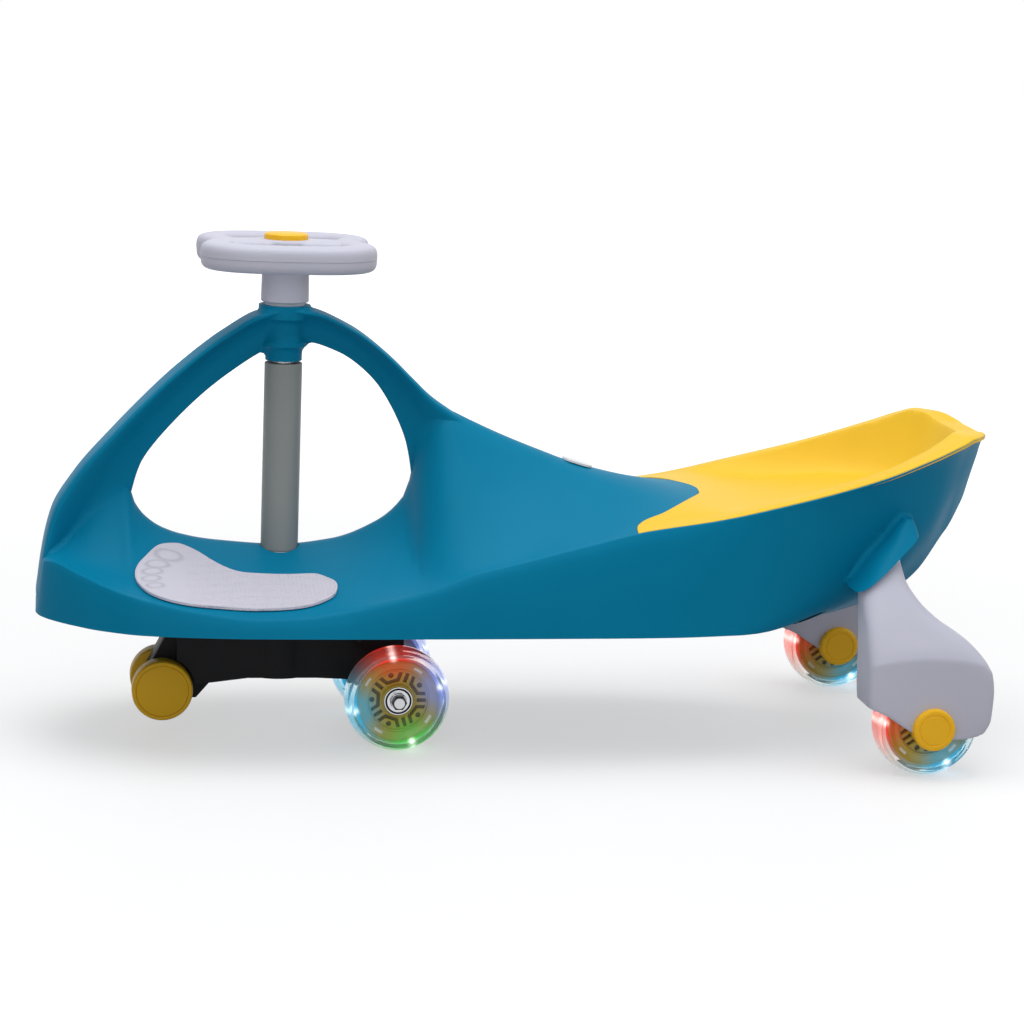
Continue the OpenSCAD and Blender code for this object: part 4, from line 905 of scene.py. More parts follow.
HOOD = LegForm(
    rows=((0.62, -0.6, 0.0, -1.6, 0.32), (0.714, -0.535, 0.005, -1.6, 0.16),
          (0.797, -0.44, 0.0, -1.6, -0.115), (0.88, -0.335, -0.004, -1.6, -0.395),
          (0.945, -0.234, -0.01, -1.6, -0.6), (0.99, -0.178, -0.023, -1.6, -0.755),
          (1.027, -0.12, -0.047, -1.6, -0.89)),
    round_t=((0.6, 0.5), (1.1, 0.55)), arc=0.0)


@dataclass(frozen=True)
class BodyShell:
    """The moulded body with its arch, column boss, leg sockets and hollow underside."""

    form: BodyForm = BodyForm()
    leg: LegForm = LegForm()
    hood: LegForm = HOOD
    voxel: float = 2.4
    spare: float = 7.0
    core_inset: float = 0.35
    edge_round: float = 1.9
    edge_share: float = 0.15
    hull_rows: int = 240
    top_points: int = 44
    side_points: int = 22
    edge_points: int = 8
    keel_points: int = 16
    core_rounds: int = 6
    core_push: float = 0.52
    soft_rounds: int = 30
    feet: Pairs = ((0.085, 192, 26.0), (0.385, 215, 30.0), (0.415, 250, 26.0))
    feet_half: float = 60.0
    hood_at: tuple[float, float] = (40.0, 165.0)
    hood_from: float = 40.0
    hood_reach: float = 45.0
    hood_share: float = 0.12
    under_ends: tuple[float, float] = (-0.1, 0.72)
    under_depth: float = 40.0
    stern_rounds: int = 40
    to_stern: Fade = Fade(0.66, 0.06)
    to_round: Fade = Fade(0.7, 0.1)
    arch_waist: float = 0.24
    waist_across: tuple[Fade, Fade] = (Fade(0.08, 0.2), Fade(0.85, -0.4))
    waist_along: tuple[Fade, Fade] = (Fade(0.3, 0.12), Fade(0.82, -0.12))
    arch_rows: int = 190
    arch_points: int = 66
    hollow_ends: tuple[float, float] = (0.014, 0.93)
    hollow_rows: int = 110
    hollow_points: int = 30
    roof_steps: tuple[float, ...] = (-0.012, 0, 0.012)
    seat_from: float = 0.596
    to_thick: Fade = Fade(0.7, 0.15)
    rib_shares: tuple[float, ...] = (0.05, 0.13, 0.2, 0.3, 0.37, 0.45, 0.53, 0.6, 0.68)
    rib_half: float = 1.2
    rib_gap: float = 1.6
    side_out_t: Pairs = ((0, 0), (1, 0.3), (2, 0.75), (3, 1))
    side_down_t: Pairs = ((0, 0), (1, 0.1), (2, 0.5), (3, 1))
    rib_boss: Pairs = ((10.9, 100.6), (17, 100.6), (17, 138), (10.9, 138))
    bore: Pairs = ((0, 90), (10.9, 90), (10.9, 141), (15, 141.2), (15, 190), (0, 190))

    def hull(self, inset: float = 0.0) -> Patch:
        """Sections from nose to tail: across the top, round the gunwale, down the side and along the keel.

        The gunwale is a parabola that leaves the top and the side at their own slopes. At the skirt the
        side is carried on down, for a cut to trim. At the stern, side and keel are smoothed into one curve.

        Args:
            inset: How far the sections are drawn in.
        Returns:
            The closed surface.
        """
        f, s = self.form, crowded(0, 1, self.hull_rows)[:, None]
        edge_w, edge_z = f.w(f.gunwale_w_t, s) - inset, f.z(f.gunwale_z_t, s) - inset
        skirt_w, skirt_z = f.w(f.skirt_w_t, s) - inset, f.z(f.skirt_z_t, s)
        below = self.spare * (1 - self.to_stern.at(s))
        r = np.minimum(self.edge_round, self.edge_share * edge_w)
        y_top = (edge_w - r) * np.sin(np.linspace(0, 1, self.top_points) * np.pi / 2)[None, :]
        z_top = f.top(s, y_top) - inset
        start = np.minimum(0.3, 1.5 * r / np.maximum(1, edge_z - skirt_z))
        side = 3 * mix(start, 1, np.linspace(0, 1, self.side_points)[None, :])
        y_side = mix(edge_w, skirt_w, curve(self.side_out_t, side))
        z_side = mix(edge_z, skirt_z, curve(self.side_down_t, side))
        t = np.linspace(0, 1, self.edge_points)[None, 1:-1]
        arc = [a[:, -1:] * (1 - t) ** 2 + 2 * t * (1 - t) * b + c[:, :1] * t * t
               for a, b, c in ((y_top, edge_w, y_side), (z_top, edge_z, z_side))]
        t = np.linspace(0, 1, self.keel_points)[None, 1:]
        keel_w = skirt_w * curve(f.keel_w_t, s)
        keel_z = skirt_z - f.size.rise * curve(f.keel_drop_t, s) + inset
        half_y = np.hstack([y_top, arc[0], y_side, skirt_w, mix(skirt_w, keel_w, t)])
        half_z = np.hstack([z_top, arc[1], z_side, skirt_z - below, mix(skirt_z, keel_z, t) - below])
        first, share = y_top.shape[1] + arc[0].shape[1], 0.5 * self.to_round.at(s)
        for half in (half_y, half_z):
            for _ in range(self.stern_rounds):
                mean = (half[:, first - 1:-2] + half[:, first + 1:]) / 2
                half[:, first:-1] += share * (mean - half[:, first:-1])
        return Patch.grid(joined(f.x(s), both_sides(half_y, -1), both_sides(half_z)), wrap=True, cap=True)

    def arch(self, inset: float = 0.0) -> Patch:
        """Section of the arch carried along its rim and its inner edge.

        Args:
            inset: How far the section is drawn in.
        Returns:
            The closed surface.
        """
        f = self.form
        last = len(f.rim_t) - 1
        at = np.linspace(0, last, self.arch_rows)[:, None]
        step = np.linspace(0, len(f.section_t) - 1, self.arch_points)
        along, wide = (curve(by_step(f.section_t, k), step)[None, :] for k in (0, 1))
        along = mix(along, 0.5, 0.03 * inset)
        half = f.size.arch_w / 2 * curve(f.taper_t, at / last) - inset
        rim = [curve(by_step(f.rim_t, k), at) for k in (0, 1)]
        edge = [curve(by_step(f.edge_t, k), at) for k in (0, 1)]
        x = f.x(mix(rim[0], edge[0], along))
        z = f.size.skirt_z + f.size.rise * mix(rim[1], edge[1], along)
        (inner, outer), (front, back) = self.waist_across, self.waist_along
        waist = inner.at(along) * outer.at(along) * front.at(at / last)
        y = half * wide * (1 - self.arch_waist * waist * back.at(at / last))
        ring = [np.hstack([a, sign * a[:, -2:0:-1]]) for a, sign in ((x, 1), (y, -1), (z, 1))]
        return Patch.grid(np.stack(ring, -1), wrap=True, cap=True)

    def column_boss(self) -> Patch:
        """Boss under the arch with a thin flange, and the collar on top, turned about the column."""
        z = self.form.size
        profile = ((0, z.boss_low_z), (13.8, z.boss_low_z), (13.8, 298), (17.2, 300), (17.2, 303), (14, 305),
                   (14, 318), (19.5, 321), (19.5, z.collar_top_z), (0, z.collar_top_z))
        return Patch.turned(profile).moved(x=z.column_x)

    def socket(self, side: int) -> Patch:
        """Hood over the top of a leg, cut off along the slanting mouth."""
        z = self.form.size
        hood = self.hood.patch().piece("socket")
        Bench.cut(hood, self.leg.over_mouth().piece("mouth"), Cut.COMMON)
        points = Bench.coords(hood) + np.array([z.rear_axle_x, z.rear_y, 0])
        faces = [np.array(p.vertices)[None, :] for p in hood.data.polygons]
        bpy.data.objects.remove(hood)
        return Patch(points, faces).sided(side)

    def hollow(self) -> Patch:
        """Hollow under the deck and the seat, one wall inside the hull, open at the skirt."""
        f, s = self.form, np.linspace(*self.hollow_ends, self.hollow_rows)[:, None]
        thick = f.size.wall * mix(1, 3, self.to_thick.at(s))
        low, skirt_w = f.z(f.skirt_z_t, s), f.w(f.skirt_w_t, s) - thick
        across = np.sin(np.linspace(0, 1, self.hollow_points) * np.pi / 2)[None, :]
        y = (f.w(f.gunwale_w_t, s) - 1.3 * thick) * across
        roof = np.min([f.top(np.maximum(0, s + d), y) for d in self.roof_steps], 0) - 1.25 * f.size.wall
        held = f.seat(s, y) - f.seat_t - f.gap - f.size.wall
        z = np.maximum(np.where(s > self.seat_from, np.minimum(roof, held), roof), low + 0.5)
        keel_w = np.maximum(1, f.w(f.skirt_w_t, s) * curve(f.keel_w_t, s) - thick)
        keel_z = low - f.size.rise * curve(f.keel_drop_t, s) - 1.5 - 20 * (1 - self.to_stern.at(s))
        y, z = both_sides(np.hstack([y, skirt_w, keel_w]), -1), both_sides(np.hstack([z, low, keel_z]))
        return Patch.grid(joined(f.x(s), y, z), wrap=True, cap=True)

    def pocket(self) -> Patch:
        """Pocket that the seat lies in, with its floor one gap under the seat."""
        f = self.form
        s, y = f.seat_lanes(150, 161, f.gap)
        floor = joined(f.x(s), y, f.seat(s, y) - f.seat_t - f.gap)
        return Patch.slab(floor * [1, 1, 0] + [0, 0, f.size.arch_z], floor)

    def ribs(self) -> Patch:
        """Cross ribs in the hollow, kept above the skirt, and a round boss about the column.

        The ribs are thin plates with the hull's section. Under the seat they stay below its floor.
        """
        f = self.form
        plates = []
        for s in self.rib_shares:
            at = np.full((1, 1), s)
            edge_w, low_w = f.w(f.gunwale_w_t, at) - 1.4, f.w(f.skirt_w_t, at) - 1.4
            y = edge_w * np.linspace(-1, 1, 41)[None, :]
            roof = f.top(at, y) - self.rib_gap
            if s > 0.55:
                roof = np.minimum(roof, f.seat(at, y) - f.seat_t - self.rib_gap)
            top = np.concatenate([joined(f.x(s) + d, y, roof) for d in (-self.rib_half, self.rib_half)])
            low = top * [1, (low_w / edge_w).item(), 0] + [0, 0, f.size.skirt_z + 3]
            plates.append(Patch.slab(top, low))
        boss = Patch.turned(self.rib_boss, 64, closed=True).moved(x=f.size.column_x)
        return Patch.merged(*plates, boss)

    def softened(self, p: Array) -> Array:
        """How much each point of the core is smoothed further: at the arch's feet and round the leg hoods.

        Args:
            p: The core's points.
        Returns:
            Shares from 0 to 1.
        """
        x, y, z = p.T
        feet = np.max([np.exp(-np.square((x - self.form.x(s)) / r) - np.square((z - h) / (1.5 * r)))
                       for s, h, r in self.feet], 0)
        ahead, high = self.hood_at
        off_hood = np.hypot(x - self.form.size.rear_axle_x - ahead, z - high)
        hoods = bell(off_hood, self.hood_reach) * self.hood_share * (np.abs(y) > self.hood_from)
        return np.maximum(feet * (np.abs(y) < self.feet_half), hoods)

    def build(self) -> None:
        """Skins a core with smooth joins, lays the exact forms over it and cuts the hollows."""
        f, z = self.form, self.form.size
        sockets = [self.socket(side) for side, _ in SIDES]
        inset = self.core_inset
        core = Patch.merged(self.hull(inset), self.arch(inset), self.column_boss(), *sockets)
        shell = Bench.skinned(core.piece("body_shell_skin"), self.voxel)
        Bench.relaxed(shell, self.core_rounds, self.core_push)
        Bench.relaxed(shell, self.soft_rounds, share=self.softened(Bench.coords(shell)))
        for exact in (self.hull(), self.arch(), self.column_boss(), *sockets):
            Bench.cut(shell, exact.piece("exact"), Cut.JOINED)
        front, back = (f.x(s) for s in self.under_ends)
        low = z.skirt_z - self.under_depth
        under = Patch.block(np.array([front, back, back, front]),
                            np.array([low, low, z.skirt_z, z.skirt_z]), -z.body_l, z.body_l)
        for cutter in (under, self.hollow(), self.pocket()):
            Bench.cut(shell, cutter.piece("shell_cutter"))
        for side, _ in SIDES:
            hole = self.leg.patch(f.gap).piece("leg_hole")
            Bench.cut(hole, self.leg.over_mouth(self.leg.depth + f.gap).piece("mouth"))
            Bench.cut(shell, Bench.placed(hole, z.rear_axle_x, z.rear_y, side))
        Bench.cut(shell, Patch.turned(self.bore, 64).moved(x=z.column_x).piece("bore"))
        fitted(shell, 35, TEAL, Body.CHASSIS, "body_shell")
        fitted(self.ribs().piece("body_ribs"), 30, TEAL, Body.CHASSIS)


@dataclass(frozen=True)
class Seat:
    """The yellow seat shell that lies in the body's pocket."""

    form: BodyForm = BodyForm()

    def build(self) -> None:
        """Slab between the seat's top and its underside, with rounded edges."""
        f = self.form
        s, y = f.seat_lanes(150, 161, 0.0)
        top = joined(f.x(s), y, f.seat(s, y))
        shell = Patch.slab(top, top - [0, 0, f.seat_t]).piece("seat_shell_skin")
        fitted(Bench.bevelled(shell, 0.8, 50), 35, YELLOW, Body.CHASSIS, "seat_shell")


@dataclass(frozen=True)
class Toe:
    """An oval toe mark on a pad: its middle and its two half widths."""

    x: float
    y: float
    along: float
    across: float


@dataclass(frozen=True)
class FootPads:
    """The two pads on the deck, with a raised edge, toe marks and a field of dots.

    The border's points are shares of the body's length and half width, from the big toe round the heel.
    """

    form: BodyForm = BodyForm()
    border: Pairs = (
        (0.13, 0.207), (0.117, 0.287), (0.106, 0.389), (0.0988, 0.485), (0.0995, 0.6), (0.108, 0.727),
        (0.1265, 0.835), (0.156, 0.874), (0.2, 0.876), (0.249, 0.869), (0.279, 0.829), (0.2945, 0.768),
        (0.299, 0.68), (0.295, 0.585), (0.284, 0.502), (0.266, 0.464), (0.23, 0.452), (0.205, 0.442),
        (0.184, 0.37), (0.1665, 0.255), (0.152, 0.186), (0.141, 0.177))
    spine_t: Pairs = ((160, 77), (200, 76), (230, 71), (255, 58), (280, 56))
    spine_ends: tuple[float, float] = (175, 268)
    thickness: float = 1.8
    lift: float = 1.0
    toes: tuple[Toe, ...] = (Toe(270.5, 38.5, 9.5, 6.6), Toe(279, 50.4, 8, 4.2), Toe(283, 59, 7, 3.7),
                             Toe(284, 67.8, 6.4, 3.6), Toe(281.5, 77.5, 6, 3.6))
    toe_sharp: float = 4.5
    toe_shade: float = 0.38
    dots_end: float = 262.0
    to_dots: Fade = Fade(262.0, -6.0)

    def rings(self, rows: int = 64, sides: int = 260) -> Array:
        """Places, as complex numbers, on rings that shrink from the border to a spine.

        The border is a closed curve through its points: their Fourier sum is read at even steps.
        """
        f = self.form
        xy = np.array([(f.x(s), c * f.size.half_w) for s, c in self.border])
        wave = np.fft.fft(xy[:, 0] + 1j * xy[:, 1])
        order = np.fft.fftfreq(len(xy), 1 / len(xy))
        a = 2 * np.pi * np.arange(sides)[:, None] / sides
        edge = (np.exp(1j * a * order) * wave).mean(1)
        spine = np.clip(edge.real, *self.spine_ends)
        spine = spine + 1j * curve(self.spine_t, spine)
        return mix(edge[None, :], spine[None, :], crowded(0, 1, rows - 1)[:, None])

    def off_toes(self, x: Array, y: Array) -> list[Array]:
        """Distance from the middle of each toe mark, 1 on its outline."""
        return [np.hypot((x - toe.x) / toe.along, (y - toe.y) / toe.across) for toe in self.toes]

    def relief(self, x: Array, y: Array, inside: Array) -> Array:
        """Height over the slab: a raised edge, a groove inside it up to the toes, and the toe marks.

        Args:
            x: Places along the body.
            y: Places across it.
            inside: Distances from the border.
        Returns:
            The heights.
        """
        lift = 0.45 * bell(inside - 1.3, 0.8) - 0.25 * bell(inside - 6.5, 0.7) * (x < self.dots_end)
        for d in self.off_toes(x, y):
            lift = lift + (0.75 * bell((d - 1) * self.toe_sharp) + 0.25 * ease((1 - d) * 3))
        return lift

    def build(self) -> None:
        """Lays a slab with the relief over the deck on each side, marks its dots, and paints shade along its
        toe outlines.
        """
        f, at = self.form, self.rings()
        x, y = at.real, at.imag
        base = f.top(0.5 - x / f.size.body_l, y) + self.lift
        top = joined(x, y, base + self.thickness + self.relief(x, y, np.abs(at - at[:1])))
        low = joined(x, y, base)
        for side, name in SIDES:
            skin = Patch.grid(np.concatenate([low[::-1], top]), wrap=True).sided(side)
            pad = skin.piece(f"foot_pad_{name}_skin")
            p = Bench.coords(pad)
            Bench.tagged(pad, "dots", self.to_dots.at(p[:, 0]))
            nearest = np.min(self.off_toes(p[:, 0], np.abs(p[:, 1])), 0)
            # painted shade along the toe outlines
            Bench.tagged(pad, "recess_shade", self.toe_shade * bell((nearest - 1) * self.toe_sharp))
            fitted(pad, 60, PAD, Body.CHASSIS, f"foot_pad_{name}")


@dataclass(frozen=True)
class RearLegs:
    """The two rear legs with their wheel slots, and their screws."""

    size: Sizes = Sizes()
    leg: LegForm = LegForm()
    slot_half: float = 16.0
    slot_r: float = 44.0
    below: float = 80.0
    screw_shares: tuple[float, float] = (0.89, 0.95)
    screw_x: float = 0.31
    screw_r: float = 2.0
    head_r: float = 3.6
    screw_l: float = 8.0
    voxel: float = 1.25
    rounds: int = 5
    push: float = 0.51

    def slot(self) -> Patch:
        """Slot for the wheel: half a circle over straight sides."""
        a, r = np.linspace(0, np.pi, 49), self.slot_r
        x = np.concatenate([[r], r * np.cos(a), [-r]])
        z = self.size.wheel_r + np.concatenate([[-self.below], r * np.sin(a), [-self.below]])
        return Patch.block(x, z, -self.slot_half, self.slot_half)

    def low_cut(self) -> Patch:
        """What is cut from under the leg, along a smooth curve."""
        ends = [self.leg.low_t[0][0], self.leg.low_t[-1][0]]
        t = np.linspace(*ends, 60)
        x = np.concatenate([-t, ends]) * self.leg.length
        z = np.concatenate([curve(self.leg.low_t, t) * self.leg.top_z, [-self.below, -self.below]])
        return Patch.block(x, z, -self.below, self.below)

    def build(self) -> None:
        """Stacks the sections, cuts the slot and the mouth, rounds the edges and sets a leg on each side."""
        for side, name in SIDES:
            leg = self.leg.patch(levels=120, sides=160).piece(f"rear_leg_{name}_skin")
            for cutter in (self.low_cut(), self.slot(), self.leg.over_mouth(self.leg.depth)):
                Bench.cut(leg, cutter.piece("leg_cutter"))
            Bench.relaxed(Bench.skinned(leg, self.voxel), self.rounds, self.push)
            Bench.placed(leg, self.size.rear_axle_x, self.size.rear_y, side)
            fitted(leg, 60, GREY, Body.CHASSIS, f"rear_leg_{name}")
        fitted(self.screws().piece("leg_screws_skin"), 30, ZINC, Body.CHASSIS, "leg_screws")

    def screws(self) -> Patch:
        """Screws driven outwards from inside the body, short enough to stay under its skin."""
        r, wide, low = self.screw_r, self.head_r, self.size.rear_y - 1.5 * self.leg.width
        profile = ((0, low - r), (wide, low - r), (wide, low), (r, low), (r, low + self.screw_l - 1),
                   (0, low + self.screw_l))
        x = self.size.rear_axle_x + self.screw_x * self.leg.length
        rod = Patch.turned(profile, 32).across().moved(x=x)
        return Patch.merged(*(rod.moved(z=share * self.leg.top_z).sided(side)
                              for share in self.screw_shares for side, _ in SIDES))


@dataclass(frozen=True)
class SteeringWheel:
    """The two halves of the steering wheel, its neck, its cap and the column's sleeve."""

    size: Sizes = Sizes()
    length: float = 139.0
    width: float = 136.0
    rim: float = 24.0
    upper_h: float = 10.5
    lower_h: float = 10.0
    lower_inset: float = 0.25
    hub_r: float = 19.7
    waist: float = 0.2
    waist_reach: float = 21.8
    power: float = 0.62
    overlap: float = 3.0
    seam: float = 0.15
    voxel: float = 1.2
    rounds: int = 5
    push: float = 0.5
    steps: int = 200
    slope_step: float = 0.03
    section_points: int = 22
    rim_powers: tuple[float, float] = (0.55, 0.6)
    web_powers: tuple[float, float] = (0.4, 0.35)
    web_ends: tuple[float, float] = (0.86, 0.9)
    web_rows: int = 60
    web_taper: float = 46.0
    hub_edge: float = 1.5
    bore_r: float = 8.1
    sleeve_low_z: float = 143.93

    def outline(self, a: Array) -> Array:
        """Middle line of the rim: a squared circle, drawn in at front and back by a bell curve."""
        y = (self.width - self.rim) / 2 * powered(np.sin(a), self.power)
        x = (self.length - self.rim) / 2 * powered(np.cos(a), self.power)
        return np.stack([x * (1 - self.waist * bell(y, self.waist_reach)), y], -1)

    @staticmethod
    def carried(section: Array, past: float | None = None) -> Array:
        """A half section with one more point at each end, at the end's own value or at a given one."""
        first, last = section[..., :1], section[..., -1:]
        if past is not None:
            first = last = np.full_like(first, past)
        return np.concatenate([first, section, last], -1)

    def half(self, height: float, inset: float) -> Patch:
        """Rounded rim section carried round the outline, with two webs to a round hub.

        Args:
            height: Height of this half, downwards if below 0.
            inset: How much narrower the rim is than its full width.
        Returns:
            Three closed forms that overlap.
        """
        a = 2 * np.pi * (np.arange(self.steps) + 0.5) / self.steps
        p, ahead = self.outline(a), self.outline(a + self.slope_step) - self.outline(a - self.slope_step)
        n = np.stack([ahead[:, 1], -ahead[:, 0]], -1) / np.linalg.norm(ahead, axis=1)[:, None]
        t = np.linspace(0, np.pi, self.section_points)
        past = -np.sign(height) * self.overlap
        flat, high = self.rim_powers
        across = self.carried(-powered(np.cos(t), flat) * (self.rim / 2 - inset))
        up = self.carried(np.abs(np.sin(t)) ** high * height, past)
        xy = p[:, None, :] + n[:, None, :] * across[None, :, None]
        rim = Patch.grid(joined(xy[..., 0], xy[..., 1], up), wrap=True, loop=True)
        x = np.linspace(-1, 1, self.web_rows)[:, None] * (self.length - self.rim) / 2 * (1 - self.waist)
        out, (flat, high), (narrow, low) = np.abs(x) / self.web_taper, self.web_powers, self.web_ends
        wide = self.carried(mix(1, narrow, out) * self.hub_r * -powered(np.cos(t), flat))
        tall = self.carried(np.abs(np.sin(t))[None, :] ** high * height * mix(1, low, out), past)
        web = Patch.grid(joined(x, wide, tall), wrap=True, cap=True)
        r, h = self.hub_r + self.hub_edge, height
        hub = Patch.turned(((0, past), (r, past), (r, 0.8 * h), (r - 2, h), (0, h)), 80)
        return Patch.merged(rim, web, hub)

    def build(self) -> None:
        """Skins each half as one form, and turns the neck, the cap and the sleeve."""
        z = self.size
        for name, h, inset in (("wheel_upper", self.upper_h, 0.0),
                               ("wheel_lower", -self.lower_h, self.lower_inset)):
            half = self.half(h, inset).moved(z.column_x, 0, z.parting_z).piece(f"{name}_skin")
            Bench.relaxed(Bench.skinned(half, self.voxel), self.rounds, self.push)
            x, edge = z.column_x + self.length * np.array([-1.0, 1, 1, -1]), self.seam * (h < 0)
            away = z.parting_z - edge - np.sign(h) * self.rim * np.array([1.0, 1, 0, 0])
            Bench.cut(half, Patch.block(x, away, -self.width, self.width).piece("parting"))
            fitted(half, 60, GREY, Body.STEERING, name)
        r, low, top = self.bore_r, z.neck_low_z, z.parting_z - self.lower_h
        neck = ((r, low), (17.2, low), (18, low + 0.8), (17.6, top - 1.5), (18.6, top), (r, top))
        low, top = self.sleeve_low_z, z.boss_low_z - 2
        sleeve = ((12.6, low), (13.7, low), (14.2, low + 0.6), (14.2, top - 0.6), (13.7, top), (12.6, top))
        top = z.parting_z + self.upper_h
        cap = tuple((r, top + up) for r, up in (
            (0, 0), (16.5, 0), (16.5, 2.4), (16.1, 3.6), (15, 4.3), (13.2, 4.5), (12.7, 4.2), (12.1, 4.5),
            (8, 4.85), (0, 5)))
        for name, profile, closed, angle, finish in (("hub_neck", neck, True, 35, GREY),
                                                     ("steering_cap", cap, False, 30, CAP),
                                                     ("column_sleeve", sleeve, True, 30, COLUMN)):
            form = Patch.turned(profile, closed=closed).moved(x=z.column_x)
            fitted(form.piece(f"{name}_skin"), angle, finish, Body.STEERING, name)


@dataclass(frozen=True)
class Led:
    """A light in a wheel: its angle in the wheel's left side view and its colour."""

    degrees: float
    colour: Colour


RED, BLUE, GREEN, CYAN = (0.90, 0.06, 0.03), (0.27, 0.37, 0.86), (0.08, 0.62, 0.12), (0.015, 0.52, 0.80)


@dataclass(frozen=True)
class LightWheel:
    """A light-up wheel: clear tyre, light ring, amber hub and two bearings."""

    name: str
    body: Body
    centre: Place
    leds: tuple[Led, ...]
    outer_r: float = 40.0
    half: float = 12.0
    tyre_depth: float = 6.5
    hub_r: float = 31.0
    hub_half: float = 11.0
    core_r: float = 12.2
    rim_r: float = 22.6
    led_r: float = 33.0
    spread: float = 33.0
    spokes: int = 5
    phase: float = 107.0
    web_share: float = 0.62
    sunk: float = 2.4
    # share of painted shade in the hub's sunk pattern
    sunk_shade: float = 0.85
    window_tint: float = 0.8
    from_axle: Fade = Fade(9, 20)
    gather: float = 1.25
    spot_area: float = 4.0
    spot_shine: float = 0.9
    dot_at: float = 19.7
    dot_r: float = 1.8
    house_at: tuple[float, float] = (14.9, 5.2)
    house_half: float = 1.15
    house_end: float = 21.3
    slot_at: float = 18.0
    slot_half: tuple[float, float] = (3.4, 1.2)
    window_at: float = 27.4
    window_half: tuple[float, float] = (3.4, 1.0)
    window_turn: float = 40.0
    ring: Pairs = ((31.1, -8.4), (33.4, -8.4), (33.4, 8.4), (31.1, 8.4))
    bearing: Pairs = ((4.05, 4), (11, 4), (11, 10.7), (10.7, 11), (10, 11), (9.8, 10.4), (8.7, 10.4),
                      (8.5, 11), (6.3, 11), (6.1, 10.5), (4.05, 10.5))

    def polar(self, obj: Obj) -> tuple[Array, Array]:
        """Radius and angle of each corner point about the axle, in degrees, up being 90 and rearwards 0."""
        p = Bench.coords(obj) - np.array(self.centre)
        return np.hypot(p[:, 0], p[:, 2]), np.degrees(np.arctan2(p[:, 2], -p[:, 0]))

    def lit(self, obj: Obj, strength: float, shine: float) -> None:
        """Tints each point by the lights near it, fading by bell curves of the angle and towards the axle.

        Args:
            obj: The piece.
            strength: Greatest share of the tint.
            shine: How much of the tint the piece gives off.
        """
        r, a = self.polar(obj)
        off = np.stack([(a - led.degrees + 180) % 360 - 180 for led in self.leds])
        weights = bell(off, self.spread) * self.from_axle.at(r)
        total = weights.sum(0)
        colour = np.tensordot(weights, np.array([led.colour for led in self.leds]), (0, 0))
        colour = colour / np.maximum(total, 1e-6)[:, None]
        alpha = strength * np.clip(self.gather * total, 0, 1)
        Bench.tagged(obj, "led", np.column_stack([colour, alpha]))
        away = np.square(r - self.led_r) + np.square(np.radians(off) * r)
        spot = np.exp(-away / self.spot_area).max(0)[:, None]
        glow = shine * alpha[:, None] * colour + self.spot_shine * spot
        Bench.tagged(obj, "glow", np.column_stack([glow, np.ones(len(r))]))

    def pattern(self, r: Array, a: Array) -> tuple[Array, Array]:
        """Recesses and windows of the hub: five dots, a house-shaped groove round each and slots between.

        A groove is the band about the border of a corner cut off flat: the smaller of the distances
        from the flat and from the side, which runs along the next slot.

        Args:
            r: Radius of each point.
            a: Angle of each point in degrees.
        Returns:
            Depth shares of the recesses and of the pale windows.
        """
        step = 360 / self.spokes
        b = np.radians((a - self.phase + step / 2) % step - step / 2)
        x, y = r * np.cos(b), np.abs(r * np.sin(b))
        turn = math.radians(step / 2)
        u, v = x * math.cos(turn) + y * math.sin(turn), x * math.sin(turn) - y * math.cos(turn)
        dot = within(np.hypot(x - self.dot_at, y) - self.dot_r)
        flat, side = self.house_at
        house = within(np.abs(np.minimum(x - flat, v - side)) - self.house_half) * within(r - self.house_end)
        along, across = self.slot_half
        slot = within(np.maximum(v - across, np.abs(u - self.slot_at) - along))
        along, across = self.window_half
        c = np.abs((a - self.leds[0].degrees + self.window_turn + 45) % 90 - 45)
        arc = within(np.maximum(np.abs(r - self.window_at) - across, np.radians(c) * r - along))
        return np.maximum(np.maximum(dot, house), slot), arc

    def hub(self) -> Obj:
        """Hub as one closed profile carried round the axle, its web faces sunk where the pattern says."""
        h, web = self.hub_half, self.web_share * self.hub_half
        core = [(11.2, h - 7), (11.2, h), (self.core_r - 0.5, h), (self.core_r, h - 0.5)]
        face = [(r, web) for r in np.linspace(self.core_r, self.rim_r, 60)]
        rim = [(self.rim_r + out, h - down) for out, down in ((0, 2.4), (0.4, 1.9), (1.2, 1.9), (1.7, 2.4))]
        bowl = [(r, h - 2.6 + 2.6 * (r - 24.5) ** 2 / 42)
                for r in np.linspace(self.rim_r + 2, self.hub_r - 0.6, 24)]
        side = np.array(core + face + rim + bowl + [(self.hub_r, h - 0.8)])
        profile = np.concatenate([side, side[::-1] * [1, -1]])
        a = 360 * np.arange(360) / 360
        r, z = profile[:, :1], profile[:, 1:]
        sunk, _ = self.pattern(r, a[None, :])
        on_web = np.abs(np.abs(z) - web) < 1e-6
        on_web = on_web * ease((r - self.core_r) / 0.5) * ease((self.rim_r - r) / 0.5)
        z = z - np.sign(z) * self.sunk * sunk * on_web
        t = np.radians(a)[None, :]
        points = joined(-r * np.cos(t), z, r * np.sin(t)) + np.array(self.centre)
        obj = Patch.grid(points, wrap=True, loop=True).piece(f"{self.name}_hub_skin")
        radius, angle = self.polar(obj)
        sunk, arc = self.pattern(radius, angle)
        inside = (radius > self.core_r - 0.1) & (radius < self.rim_r)
        # painted shade: the sunk pattern on the hub's faces is darkened
        Bench.tagged(obj, "recess_shade", self.sunk_shade * sunk * inside)
        Bench.tagged(obj, "window", self.window_tint * arc * (radius > self.rim_r + 1.8))
        return obj

    def turned(self, part: str, steps: int, *profiles: Pairs | Array) -> Obj:
        """Piece with closed profiles of radius and place along the axle, turned about it."""
        rings = Patch.merged(*(Patch.turned(profile, steps, closed=True) for profile in profiles))
        return rings.across().moved(*self.centre).piece(f"{self.name}_{part}_skin")

